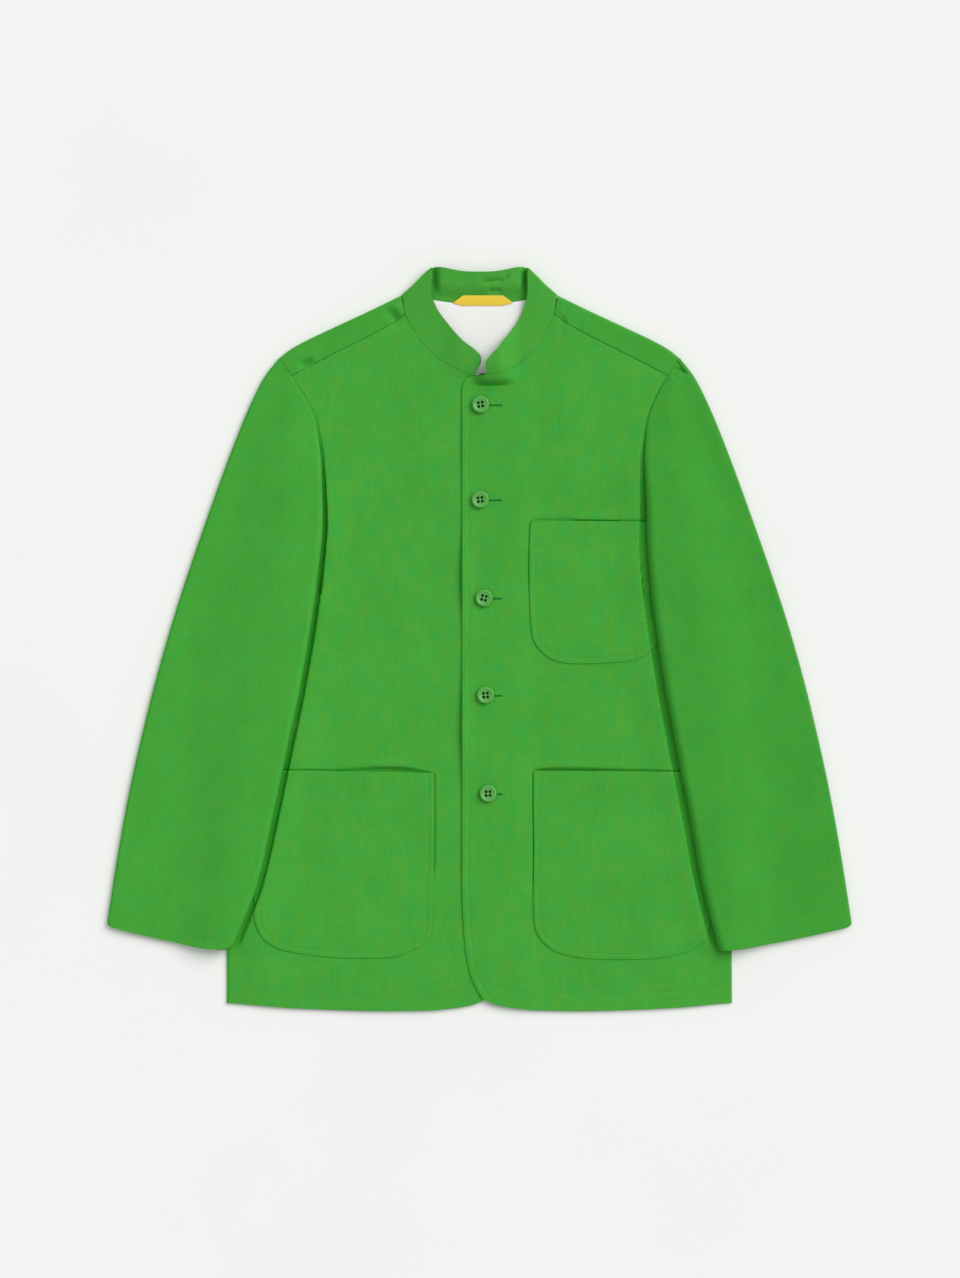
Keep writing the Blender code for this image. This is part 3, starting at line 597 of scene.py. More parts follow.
def away(x, y, line):
    """Distance of places from a line of points."""
    places = pair(np.ravel(x), np.ravel(y))
    nearest = np.full(len(places), np.inf)
    for start, step in zip(line[:-1], np.diff(line, axis=0)):
        s = limit((places - start) @ step / (step @ step))
        gap = places - start - s[:, None] * step
        nearest = np.minimum(nearest, np.einsum("ij,ij->i", gap, gap))
    return np.sqrt(nearest).reshape(np.shape(x))


def arc_along(points):
    """Length along a row of points from its start."""
    legs = np.linalg.norm(np.diff(points, axis=0), axis=-1)
    return np.concatenate([[0.0], np.cumsum(legs)])


def right_of(line):
    """Directions to the right of a line, point by point."""
    ahead = unit(np.gradient(line, axis=0))
    return pair(ahead[:, 1], -ahead[:, 0])


def carried(row, spot, further, way):
    """A row with further points, and the flat cloth below them going on the same way."""
    reach = arc_along(np.vstack([row[-1:], further]))[1:, None]
    return np.vstack([row, further]), np.vstack([spot, spot[-1] + reach * way])


# How the cloth lies


def creased(x, y, creases):
    """Height that soft troughs and ridges add."""
    total = np.zeros(np.shape(x))
    for mid_x, mid_y, turn, length, width, height, bow in creases:
        right, up = cos(radians(turn)), sin(radians(turn))
        reach = 2 * ((x - mid_x) * right + (y - mid_y) * up) / length
        across = (y - mid_y) * right - (x - mid_x) * up - bow * np.square(reach)
        total += height * hump(across / width) * smooth(1.5 * (1 - np.abs(reach)))
    return total


def swell(x, y):
    total = np.zeros(np.shape(x))
    for length, turn, phase, height in SWELLS:
        along = x * cos(radians(turn)) + y * sin(radians(turn))
        total += height * np.sin(2 * pi * along / length + phase)
    return total


def lie(x, y):
    """How far the cloth of the body lies above or below its plain form."""
    return swell(x, y) + creased(x, y, BODY_CREASES + SHOULDER_CREASES)


# Edges of the sleeves and the body, in plan


def drawn_in(along, radius):
    """How far a corner of that radius at the cuff draws an edge in."""
    t = limit(1 - (1 - along) * SLEEVE_LENGTH / radius)
    return radius * (1 - np.sqrt(1 - np.square(t)))


def sleeve_edges(along, side):
    """Row of a sleeve with rounded corners at the cuff, and its inner and outer edge."""
    row = sleeve_at(along)
    x, y = row.inner_x - row.outer_x, row.inner_y - row.outer_y
    outer = drawn_in(along, CUFF_CORNER) / np.hypot(x, y)
    inner = drawn_in(along, CUFF_INNER_CORNER[side]) / np.hypot(x, y)
    bulge = OUTER_BULGE[side] * hump((along - OUTER_BULGE_ALONG) / OUTER_BULGE_REACH)
    row = row._replace(
        outer_x=row.outer_x + x * outer + bulge,
        outer_y=row.outer_y + y * outer,
        inner_x=row.inner_x - x * inner,
        inner_y=row.inner_y - y * inner,
    )
    return row, pair(row.inner_x + side * row.skew, row.inner_y), pair(row.outer_x, row.outer_y)


def wrap_spot(row, reach):
    """Place that far in from a sleeve's outer edge, the same on both sleeves."""
    outer, inner = pair(row.outer_x, row.outer_y), pair(row.inner_x, row.inner_y)
    return outer + unit(inner - outer) * np.asarray(reach)[..., None]


def armhole(s, side):
    """Front armhole from the underarm up: hidden below, then along the sleeve's inner edge."""
    _, meeting, _ = sleeve_edges(LOW_ARMHOLE_TOP_ALONG, side)
    hidden = track(Point, LOW_ARMHOLE + [(1.0, meeting[0] - SEAM_GAP, meeting[1])])
    low = plan(hidden(limit(s / LOW_ARMHOLE_SHARE)))
    climb = beyond(s, LOW_ARMHOLE_SHARE)
    _, inner, outer = sleeve_edges(LOW_ARMHOLE_TOP_ALONG * (1 - climb), side)
    shown = inner + unit(inner - outer) * SEAM_GAP
    return np.where((s <= LOW_ARMHOLE_SHARE)[:, None], low, shown)


def seam_and_edge(band):
    return pair(band.seam_x, band.seam_y), pair(band.edge_x, band.edge_y)


def collar_section(share, side):
    """Seam and edge of the collar front, from the fold to its end at the centre front."""
    return seam_and_edge(bands_at[side](share))


def back_neck_y(x):
    """Height up the jacket of the seam between the back and the collar."""
    seam = back_band_at(np.linspace(0, 1, 200))
    return np.interp(np.abs(x), seam.seam_x, seam.seam_y)


def stand_x(side):
    """Where the straight edge of a front is."""
    return side * CENTRE_FRONT_X - BUTTON_STAND


def front_edge_line(shares, side):
    edge = edge_at(shares)
    return pair(stand_x(side) + edge.x, edge.y)


def front_hem_line(shares, side):
    hem = hem_at(shares)
    stretch = (SIDE_X - SIDE_ROLL - stand_x(side)) / FRONT_HEM_END
    return pair(stand_x(side) + hem.x * (1 + (stretch - 1) * shares), hem.y)


def neck_line(shares, side):
    return collar_section(1 - shares * (1 - COLLAR_SHOULDER_SHARE), side)[0]


def front_top(us, side):
    """Top of a front: the end of the button stand, the neckline and the shoulder seam."""
    corner, end = front_edge_line(1.0, side), neck_line(0.0, side)
    width, height = end - corner
    bend = limit(us / STAND_SHARE / STAND_BEND_SHARE) * pi / 2
    onwards = beyond(us / STAND_SHARE, STAND_BEND_SHARE)
    x = STAND_ROUNDING * (1 - np.cos(bend)) + (width - STAND_ROUNDING) * onwards
    tip = STAND_TIP[side] * hump((x / width - STAND_TIP_AT) / STAND_TIP_REACH)
    stand = corner + pair(x, height * np.sin(bend) + tip)
    neck = neck_line(beyond(us, STAND_SHARE, NECK_SHARE), side)
    shoulder = plan(seam_at(beyond(us, NECK_SHARE)))
    low, high = (us <= STAND_SHARE)[:, None], (us <= NECK_SHARE)[:, None]
    return np.where(low, stand, np.where(high, neck, shoulder))


def front_outer(vs, side):
    """Side seam of a front and its armhole above."""
    below = plan(side_at(limit(vs / UNDERARM_SHARE)))
    s = beyond(vs, UNDERARM_SHARE)
    end = plan(seam_at(1.0)) - armhole(np.ones(1), side)
    above = armhole(s, side) + end * smooth(1 - (1 - s) / SHOULDER_BLEND)[:, None]
    return np.where((vs <= UNDERARM_SHARE)[:, None], below, above)


# Heights of the fronts, x counted outwards from the middle of the jacket


def front_height(x, y, side):
    """Height of a front's plain upper face."""
    _, hem_x, hem_y = np.transpose(FRONT_HEM)
    from_hem = y - np.interp(x - stand_x(side), hem_x, hem_y)
    crowned = SIDE_TOP + (BODY_TOP - SIDE_TOP) * smooth((SIDE_X - SIDE_ROLL - x) / SIDE_RISE)
    share = HEM_LEAST + (1 - HEM_LEAST) * smooth(from_hem / HEM_RISE)
    overlap = OVERLAP_LIFT * (1 - smooth((x - OVERLAP_END) / OVERLAP_FADE)) if side > 0 else 0.0
    return HEM_TOP + (crowned - HEM_TOP) * share + overlap


def sleeve_side(x, y, side):
    """Distance of places on a front from the sleeve's inner edge, negative on the body's side of it."""
    line = sleeve_edges(np.linspace(0, 1, 60), side)[1]
    edge_x = np.interp(-y, -line[:, 1], line[:, 0])
    return away(x, y, line) * np.where(x < edge_x, -1, 1)


def front_lie(x, y, side):
    """Height of a front as its cloth lies, with a groove with a crisp brink beside the sleeve on it."""
    plain = front_height(x, y, side)
    groove_y, groove_width = np.transpose(GROOVES[side])
    from_sleeve = sleeve_side(x, y, side)
    from_brink = from_sleeve + np.interp(-y, -groove_y, groove_width)
    ends = smooth((SINK_TOP_Y - y) / SINK_FADE) * smooth((y - SINK_END_Y) / SINK_END_FADE)
    under = 1 - smooth((from_sleeve - SINK_UNDER) / SINK_RISE)
    sunk = SINK * smooth(from_brink / SINK_BRINK) * under * ends
    ridge = BRINK_RIDGE * hump(np.minimum(0, from_brink) / BRINK_REACH) * under * ends
    return plain - sunk * (plain - SINK_FLOOR) + (lie(side * x, y) + ridge) * (1 - sunk)


def pinch(x, y, side):
    """Rise at the ends of the collar: a roll across the neck with a steep lower end."""
    share = smooth((PINCH_END - x) / PINCH_FADE) * smooth((x - PINCH_START) / PINCH_RISE)
    reach = beyond(y, PINCH_TOP_Y, PINCH_LOW_Y[side])
    return NECK_PINCH[side] * share * np.sqrt(1 - np.square(reach))


def mouth_y(x, pocket):
    """Height up the jacket of a pocket's top edge."""
    first = pocket.outline[0]
    return first.y + pocket.lean * (x - first.inner_x) / (first.outer_x - first.inner_x)


def mouth_trough(x, y, pocket):
    """How the front dips behind a mouth, most where it gapes, and rises above it."""
    mouth = pocket.mouth
    along = beyond(x, mouth.start, mouth.end)
    opening = np.sin(pi * along**mouth.lean)
    within = smooth((x - pocket.outline[0].inner_x) / MOUTH_CORNER)
    edge_y = mouth_y(x, pocket)
    brink = edge_y + MOUTH_LINE * within + mouth.arch * opening
    depth = np.maximum(mouth.depth * opening, MOUTH_LINE_DEPTH * within)
    inside = smooth(0.5 + (brink - y) / MOUTH_EDGE) * smooth((y - edge_y + MOUTH_UNDER) / MOUTH_RISE)
    ridge = MOUTH_RIDGE * opening * hump((y - brink - MOUTH_RIDGE_WIDTH) / MOUTH_RIDGE_WIDTH)
    return ridge - depth * inside


def pocket_ditch(x, y, pocket):
    """How deep the front is drawn in along the straight inner edge of a pocket."""
    straight = smooth((y - pocket.outline[POCKET_STRAIGHT_END].y) / DITCH_FADE)
    straight = straight * smooth((mouth_y(x, pocket) + 1 - y) / DITCH_TOP_FADE)
    inner_x = np.interp(-y, *zip(*[(-row.y, row.inner_x) for row in pocket.outline]))
    return DITCH * hump((x - inner_x) / DITCH_WIDTH) * straight


def turned_edge(from_edge, stitch):
    """Height that a turned edge adds, with the groove of its sewing."""
    ridge = TURNED_EDGE * hump((from_edge - stitch / 2) / TURNED_EDGE_WIDTH)
    return ridge - GROOVE_DEPTH * hump((from_edge - stitch) / GROOVE_WIDTH)


def front_z(x, y, side):
    """Height of a front with its edges and sewing, the pockets' mouths and the rise at the neck."""
    shares = np.linspace(0, 1, 150)
    from_edge = away(x, y, front_edge_line(shares, side))
    from_hem = away(x, y, front_hem_line(shares, side))
    relief = turned_edge(from_edge, EDGE_STITCH)
    relief = relief - HEM_GROOVE_DEPTH * hump((from_hem - HEM_STITCH) / GROOVE_WIDTH)
    if side > 0:
        for mid_y, length, height in EDGE_LIFTS:
            relief = relief + height * hump(from_edge / EDGE_LIFT_REACH) * hump(2 * (y - mid_y) / length)
    for pocket in POCKETS:
        if pocket.side == side:
            relief = relief + mouth_trough(x, y, pocket) - pocket_ditch(x, y, pocket)
    return front_lie(x, y, side) + relief + pinch(x, y, side)


# Fronts and back


def side_roll(edge):
    """Points that carry the side edge of a front round and down to the floor."""
    x, y, z = edge
    rounding = min(SIDE_ROLL, SIDE_ROLL_MOST * z)
    turned = [(x + SIDE_ROLL * sin(a), y, z - rounding * (1 - cos(a))) for a in QUARTER]
    return np.array(turned + [(x + SIDE_ROLL, y, 0.5 * (z - rounding)), (x + SIDE_ROLL, y, 0.0)])


def front(side):
    """Upper face of a front, row by row, and where each point is on the flat cloth."""
    us, vs = steps(*FRONT_ACROSS), joined(UNDERARM_SHARE, FRONT_LOW, FRONT_HIGH)
    bottom, top = front_hem_line(us, side), front_top(us, side)
    spots = coons(us, vs, bottom, top, front_edge_line(vs, side), front_outer(vs, side))
    points = level(spots, front_z(spots[..., 0], spots[..., 1], side))
    rows, cloth = [], []
    for row, spot, v in zip(points, spots, vs):
        if v <= UNDERARM_SHARE:
            row, spot = carried(row, spot, side_roll(row[-1]), (1.0, 0.0))
        rows.append(row)
        cloth.append(spot)
    return rows, cloth


def shoulder_line(share):
    """Places on the shoulder fold, and the direction and distance from there to the shoulder seam."""
    start, end = plan(fold_at(share)), plan(seam_at(share))
    return start, unit(end - start), np.linalg.norm(end - start, axis=-1)


def back_patch(us, vs):
    """Plan of half of the back, from the middle to the side and from the hem to the shoulder fold."""
    hem = pair(us * (SIDE_X - BACK_INSET), BACK_HEM_MIDDLE_Y + (HEM_CORNER_Y - BACK_HEM_MIDDLE_Y) * us**2)
    rise = back_neck_y(0) - SEAM_GAP - BACK_HEM_MIDDLE_Y
    middle = pair(0.0, BACK_HEM_MIDDLE_Y + rise * vs)
    start, inwards, _ = shoulder_line(beyond(us, BACK_NECK_SHARE))
    shoulder = start + inwards * SHOULDER_ROLL
    corner_x, corner_y = shoulder[0]
    s = us / BACK_NECK_SHARE
    seam_y = back_neck_y(s * corner_x) - SEAM_GAP
    neck = pair(s * corner_x, seam_y + (corner_y - back_neck_y(corner_x) + SEAM_GAP) * s**3)
    top = np.where((us <= BACK_NECK_SHARE)[:, None], neck, shoulder)
    shift = np.array([SIDE_ROLL - BACK_INSET, 0])
    below = plan(side_at(limit(vs / UNDERARM_SHARE))) + shift
    s = beyond(vs, UNDERARM_SHARE)
    row = sleeve_at(UNDERARM_ALONG * (1 - s))
    low_end = smooth(1 - s / UNDERARM_BLEND)[:, None]
    high_end = smooth(1 - (1 - s) / SHOULDER_BLEND)[:, None]
    sewn = wrap_spot(row, row.wrap + SEAM_GAP) * (1 - low_end - high_end)
    above = sewn + (plan(side_at(1.0)) + shift) * low_end + shoulder[-1] * high_end
    return coons(us, vs, hem, top, middle, np.where((vs <= UNDERARM_SHARE)[:, None], below, above))


def shoulder_wrap(share, side):
    """Points that carry the back round the shoulder fold and forward to the shoulder seam."""
    start, inwards, width = shoulder_line(share)
    points = []
    for angle in HALF:
        spot = start + inwards * SHOULDER_ROLL * (1 - sin(angle))
        points.append((*spot, SHOULDER_ROLL * (1 - cos(angle))))
    for reach in np.linspace(0, 1, 10)[1:]:
        x, y = start + inwards * (SHOULDER_ROLL + (width - SHOULDER_GAP - SHOULDER_ROLL) * reach)
        points.append((x, y, BODY_TOP + lie(side * x, y) * smooth(2 * reach)))
    return np.array(points)


def back():
    """Outer face of the back, column by column from its right side to its left."""
    us = joined(BACK_NECK_SHARE, (110, COARSE), (165, FINE))
    vs = joined(UNDERARM_SHARE, (405, COARSE), (330, COARSE))
    spots = back_patch(us, vs)
    rows, cloth = [], []
    for side in (-1, 1):
        for column in range(len(us) - 1, 0, -1) if side < 0 else range(len(us)):
            spread = spots[:, column]
            row = level(spread, 0.0)
            share = (us[column] - BACK_NECK_SHARE) / (1 - BACK_NECK_SHARE)
            if share > -1e-9:
                row, spread = carried(row, spread, shoulder_wrap(limit(share), side), (0.0, 1.0))
            rows.append(row * (side, 1, 1))
            cloth.append(spread * (side, 1))
    return rows, cloth


# Sleeves


def sleeve_lift(row, share):
    """Height of the underside of a sleeve, from its inner edge at 0 to its outer edge at 1."""
    inner = row.edge_z + row.drop + row.roll - 2 * SHELL - SLEEVE_INNER_ROOM
    start = SLEEVE_FALL_START * row.body_share
    end = np.minimum(SLEEVE_FALL_END, row.body_share + SLEEVE_FALL)
    return inner * (1 - smooth((share - start) / (end - start)))


def sleeve_top(row, share):
    room = SLEEVE_INNER_ROOM + (SLEEVE_OUTER_ROOM - SLEEVE_INNER_ROOM) * smooth(share)
    return sleeve_lift(row, share) + 2 * SHELL + room


def sleeve_rows(columns, alongs, inner, outer):
    """Sections of a sleeve with the cuff bowed out, and their places on the flat cloth."""
    points = np.stack(columns, 1)
    across = outer - inner
    s = ((points[..., :2] - inner[:, None]) * across[:, None]).sum(-1) / np.square(across).sum(-1)[:, None]
    s = limit(s)
    bow = CUFF_BOW * smooth((alongs - CUFF_BOW_START) / (1 - CUFF_BOW_START))
    axis = np.array([-cos(SLEEVE_GRAIN), sin(SLEEVE_GRAIN)])
    points[..., :2] -= (4 * s * (1 - s) * bow[:, None])[..., None] * axis
    arcs = np.stack([arc_along(row) for row in points])
    spots = inner[:, None] + unit(across)[:, None] * arcs[..., None]
    return points, pair(spots @ (axis[1], -axis[0]), spots @ axis)


def sleeve_upper(side):
    """Upper sleeve: round the inner edge, across the top, round the outer edge and underneath."""
    alongs = steps(*SLEEVE_ALONG)
    row, inner, outer = sleeve_edges(alongs, side)
    inwards, width = unit(inner - outer), np.linalg.norm(inner - outer, axis=-1)
    sag = EDGE_SAG * smooth((alongs - SAG_START) / SAG_RISE)
    columns = [level(inner, row.edge_z - sag), level(inner, row.edge_z - sag + 0.5 * row.drop)]
    puff = SLEEVE_PUFF * smooth((alongs - PUFF_START) / PUFF_RISE)
    round_across, round_up = INNER_ROUND[side] * row.roll, row.roll + puff + sag
    for angle in QUARTER[::-1]:
        spot = inner - inwards * (round_across * (1 - sin(angle)))[:, None]
        columns.append(level(spot, sleeve_top(row, 0) + puff - round_up * (1 - cos(angle))))
    start, end = inner - inwards * round_across[:, None], wrap_spot(row, OUTER_ROLL)
    for share in steps(150, FINE):
        spot = start + (end - start) * share
        x, y = side * spot[:, 0], spot[:, 1]
        lies = swell(x, y) + creased(x, y, SLEEVE_CREASES[side] + SHOULDER_CREASES)
        inset = np.minimum(share, 1 - share) * width
        puffed = puff * (1 - smooth(share / PUFF_END))
        columns.append(level(spot, sleeve_top(row, share) + puffed + lies * smooth(inset / CREASE_INSET)))
    for angle in HALF:
        spot = wrap_spot(row, OUTER_ROLL * (1 - sin(angle)))
        columns.append(level(spot, OUTER_ROLL * (1 + cos(angle))))
    head_lift = smooth((alongs - HEAD_LIFT_START) / (UNDERARM_ALONG - HEAD_LIFT_START))
    for share in np.linspace(0, 1, 9)[1:]:
        reach = OUTER_ROLL + (row.wrap - OUTER_ROLL) * share
        columns.append(level(wrap_spot(row, reach), head_lift * sleeve_lift(row, 1 - reach / width)))
    return sleeve_rows(columns, alongs, inner, outer)


def sleeve_under(side):
    """Under sleeve, on its lower face, between the inner edge and the upper sleeve's wrap."""
    alongs = UNDERARM_ALONG + steps(360, COARSE) * (1 - UNDERARM_ALONG)
    row, inner, outer = sleeve_edges(alongs, side)
    width = np.linalg.norm(inner - outer, axis=-1)
    start, end = inner - unit(inner - outer) * UNDER_INSET, wrap_spot(row, row.wrap + SEAM_GAP)
    columns = []
    for share in steps(110, COARSE):
        spot = start + (end - start) * share
        columns.append(level(spot, sleeve_lift(row, np.linalg.norm(spot - inner, axis=-1) / width)))
    return sleeve_rows(columns, alongs, inner, outer)


# Collar, lining and tab


def collar_spots(seam, edge):
    """Places up the collar from its seam to its edge, clear of the cloth it is sewn to."""
    seam = seam + unit(edge - seam) * SEAM_GAP
    return seam + (edge - seam) * COLLAR_HEIGHTS[:, None]


def collar_tops(share):
    """Height of the collar front up its sections, most where it folds over."""
    lift = COLLAR_FOLD_LIFT * (1 - smooth(share / COLLAR_FOLD_FADE))
    return COLLAR_SEAM_TOP + (COLLAR_EDGE_TOP + lift - COLLAR_SEAM_TOP) * COLLAR_HEIGHTS


def collar_back_lift(x, y):
    """How far the back of the collar stands off the floor, between the free edges of its front."""
    between = smooth((COLLAR_LIFT_END - np.abs(x)) / COLLAR_LIFT_FADE)
    raised = COLLAR_BACK_LIFT * between * smooth((COLLAR_HEIGHTS - COLLAR_LIFT_START) / COLLAR_LIFT_RISE)
    return np.maximum(0, raised + creased(x, y, COLLAR_CREASES))


def collar_half(side):
    """Sections of half of the collar, from the middle of the back round to the front end."""
    outline = plan(collar_fold_at(COLLAR_HEIGHTS))
    tip = smooth((COLLAR_HEIGHTS - COLLAR_TIP_START) / (1 - COLLAR_TIP_START))
    radius = COLLAR_FOLD_ROUND + (COLLAR_TIP_ROUND - COLLAR_FOLD_ROUND) * tip
    rounds = right_of(outline) * radius[:, None]
    centres = outline - rounds
    astray = centres - collar_spots(*seam_and_edge(back_band_at(1.0)))
    rows = []
    for share in np.linspace(0, 1, 84)[:-1]:
        spots = collar_spots(*seam_and_edge(back_band_at(share))) + astray * share**4
        rows.append(level(spots, collar_back_lift(side * spots[:, 0], spots[:, 1])))
    rolls = collar_tops(0.0) / 2
    for angle in [0, *HALF]:
        rows.append(level(centres + rounds * sin(angle), rolls * (1 - cos(angle))))
    astray = centres - collar_spots(*collar_section(COLLAR_FOLD_END, side))
    for share in np.linspace(COLLAR_FOLD_END, 1, 50)[1:]:
        fade = 1 - smooth((share - COLLAR_FOLD_END) / COLLAR_FOLD_BLEND)
        spots = collar_spots(*collar_section(share, side)) + astray * fade
        x, y = spots.T
        lifted = pinch(x, y, side) + swell(side * x, y) * smooth(4 * share)
        rows.append(level(spots, collar_tops(share) + lifted))
    return rows


def collar():
    rows = [row * (-1, 1, 1) for row in collar_half(-1)[:0:-1]] + collar_half(1)
    middle = arc_along(np.stack([row[len(row) // 2] for row in rows]))
    band = back_band_at(0.0)
    return rows, [pair(along, COLLAR_HEIGHTS * (band.edge_y - band.seam_y)) for along in middle]


def back_lining():
    rows = []
    across = np.linspace(-1, 1, 60)
    for v in np.linspace(0, 1, 40):
        half = LINING_BOTTOM_X + (LINING_TOP_X - LINING_BOTTOM_X) * v
        neck = back_neck_y(across * half) - 2 * SEAM_GAP
        spots = pair(across * half, LINING_BOTTOM_Y + (neck - LINING_BOTTOM_Y) * v)
        rows.append(level(spots, SHELL + LAYER_GAP + LINING_WALL + 0.5 * np.abs(swell(*spots.T))))
    return rows, [row[:, :2] for row in rows]


def neck_label():
    rows = []
    label_y, halves = np.transpose(LABEL)
    across = np.concatenate([[-1], np.linspace(-0.97, 0.97, 40), [1]])
    for share in np.linspace(0, 1, 14):
        y = label_y[0] + (label_y[-1] - label_y[0]) * share
        spots = pair(LABEL_X + across * np.interp(y, label_y, halves), y)
        rows.append(level(spots, LABEL_Z + LABEL_WALL + LABEL_BOW * sin(pi * share)))
    return rows, [row[:, :2] for row in rows]


# Pockets


def pocket_levels(pocket, spacing):
    """Levels down a pocket at even distances along its inner edge."""
    at = track(Outline, pocket.outline)
    marks = np.linspace(0, len(pocket.outline) - 1, 1500)
    fine = at(marks)
    arcs = arc_along(pair(fine.inner_x, fine.y))
    return at(np.interp(steps(arcs[-1], spacing, (0, 4, 1.0)) * arcs[-1], arcs, marks))


def leaned(x, y, pocket):
    """Places on a pocket with the lean of its mouth."""
    first = pocket.outline[0]
    return pair(x, y + (mouth_y(x, pocket) - first.y) * smooth(1 - (first.y - y) / LEAN_FADE))


def pocket_line(pocket, inset):
    """Outline of a pocket from its inner top corner round to the outer one, moved inwards."""
    rows = pocket_levels(pocket, POCKET_LINE_FINE)
    down, up = leaned(rows.inner_x, rows.y, pocket), leaned(rows.outer_x, rows.y, pocket)
    line = np.concatenate([down, up[::-1]])
    return line - right_of(line) * inset


def pocket_z(x, y, pocket):
    """Height of a pocket, with its gaping mouth, its turned edge and the grooves of its sewing."""
    first = pocket.outline[0]
    below = mouth_y(x, pocket) - y
    share = beyond(x, first.inner_x, first.outer_x)
    gape = pocket.gape * smooth(1 - below / MOUTH_DEPTH) * np.sin(pi * share**MOUTH_LEAN)
    edge = turned_edge(away(x, y, pocket_line(pocket, 0.0)), POCKET_STITCH)
    hem = HEM_GROOVE_DEPTH * hump((below - POCKET_HEM) / GROOVE_WIDTH)
    return front_lie(x, y, pocket.side) + POCKET_GAP + POCKET_WALL + gape + edge - hem


def pocket_rows(pocket):
    rows = pocket_levels(pocket, POCKET_FINE)
    width = pocket.outline[0].outer_x - pocket.outline[0].inner_x
    shares = steps(width, FINE, (0, 9, 1.3), (width - 75, width, 1.3))
    x = rows.inner_x[:, None] + (rows.outer_x - rows.inner_x)[:, None] * shares
    spots = leaned(x, rows.y[:, None], pocket)
    return level(spots, pocket_z(x, spots[..., 1], pocket)), spots


# Meshes


def meshed(name, points, faces):
    """A mesh from points in millimetres."""
    mesh = bpy.data.meshes.new(name)
    mesh.from_pydata((np.array(points) * MM).tolist(), [], np.array(faces).tolist())
    return mesh


def settled(shape, name):
    mesh = bpy.data.meshes.new(name)
    shape.to_mesh(mesh)
    shape.free()
    return mesh


def new_object(name, mesh, paint):
    mesh.materials.append(paint)
    mesh.shade_smooth()
    made = bpy.data.objects.new(name, mesh)
    bpy.context.scene.collection.objects.link(made)
    return made


def modify(made, name, kind, **settings):
    added = made.modifiers.new(name, kind)
    for setting, value in settings.items():
        setattr(added, setting, value)


def soften(made, name, width, angle):
    """Rounds the sharp edges of a piece."""
    sharp = {"limit_method": "ANGLE", "angle_limit": radians(angle)}
    modify(made, name, "BEVEL", width=width * MM, segments=2, **sharp)


def keep(piece, slot, *nodes):
    """Gives a piece its place on the object and hides the solids it stands for. Its slot is not used."""
    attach(piece, "root")
    if nodes:
        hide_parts(*nodes)
    return piece


def cloth_piece(
    name, form, paint, rests_on, side=1, wall=SHELL, faces_up=True, slot="green_linen", rim=RIM
):
    """A cloth wall lofted through rows of points on its outer face, with a rounded rim."""
    rows, cloth = form
    counts = [len(row) for row in rows]
    starts = np.concatenate([[0], np.cumsum(counts)[:-1]])
    points = np.concatenate(rows) * (side, 1, 1)
    quads = []
    for low, high, wide, next_wide in zip(starts, starts[1:], counts, counts[1:]):
        k = np.arange(min(wide, next_wide) - 1)
        quads.append(np.stack([low + k, low + k + 1, high + k + 1, high + k], -1))
    quads = np.concatenate(quads)
    corners = points[quads]
    facings = np.cross(corners[:, 2] - corners[:, 0], corners[:, 3] - corners[:, 1])
    heights = corners[..., 2].mean(1)
    if (facings[heights >= np.quantile(heights, 0.9), 2].sum() > 0) != faces_up:
        quads = quads[:, ::-1]
    mesh = meshed(f"{name}_cloth", points, quads)
    spread = np.concatenate(cloth) * (side, 1) * MM
    mesh.uv_layers.new(name="Cloth").data.foreach_set("uv", spread[quads.ravel()].ravel())
    piece = new_object(f"{name}_cloth", mesh, paint)
    modify(piece, "Wall", "SOLIDIFY", thickness=wall * MM, offset=-1, use_quality_normals=True)
    soften(piece, "Rim", rim, 60)
    keep(piece, slot, name)


def stitch_template():
    """One stitch along X: a thread that dips into the cloth at both ends."""
    points, faces = [], []
    reaches = [-0.5, -0.43, -0.25, 0.0, 0.25, 0.43, 0.5]
    for reach in reaches:
        thick = THREAD_RADIUS * np.sqrt(max(0.06, 1 - (2 * reach) ** 4))
        dip = -STITCH_DIP * (2 * reach) ** 2
        for turn in 2 * pi * np.arange(THREAD_SIDES) / THREAD_SIDES:
            points.append((reach, thick * cos(turn), dip + thick * sin(turn)))
    last = len(points) - THREAD_SIDES
    for low in range(0, last, THREAD_SIDES):
        high = low + THREAD_SIDES
        for k in range(THREAD_SIDES):
            ahead = (k + 1) % THREAD_SIDES
            faces.append((low + k, low + ahead, high + ahead, high + k))
    faces += [(0, 3, 2, 1), (0, 5, 4, 3)]
    faces += [(last, last + 1, last + 2, last + 3), (last, last + 3, last + 4, last + 5)]
    return np.array(points), np.array(faces)


def stitches(name, spots, headings, lengths, paint, slot="green_linen"):
    """Many stitches as one mesh, each at a spot on the cloth and along its heading."""
    template, faces = stitch_template()
    spots, ahead = np.array(spots), unit(np.array(headings))
    beside = unit(np.cross(np.array([0.0, 0.0, 1.0]), ahead))
    up = np.cross(ahead, beside)
    x, y, z = template.T[:, None, :, None]
    points = spots[:, None] + ahead[:, None] * x * np.reshape(lengths, (-1, 1, 1))
    points = points + beside[:, None] * y + up[:, None] * z
    every = faces + len(template) * np.arange(len(spots))[:, None, None]
    mesh = meshed(name, points.reshape(-1, 3), every.reshape(-1, 4))
    keep(new_object(name, mesh, paint), slot)


def along_line(line, height):
    """Spots for stitches along a line in plan, laid on a height, and their headings."""
    arcs = arc_along(line)
    middles = np.arange(STITCH_PITCH / 2, arcs[-1], STITCH_PITCH)

    def laid(arc):
        x, y = np.interp(arc, arcs, line[:, 0]), np.interp(arc, arcs, line[:, 1])
        return level(pair(x, y), height(x, y) + THREAD_LIFT)

    nearby = 0.3 * STITCH_PITCH
    return laid(middles), laid(middles + nearby) - laid(middles - nearby)


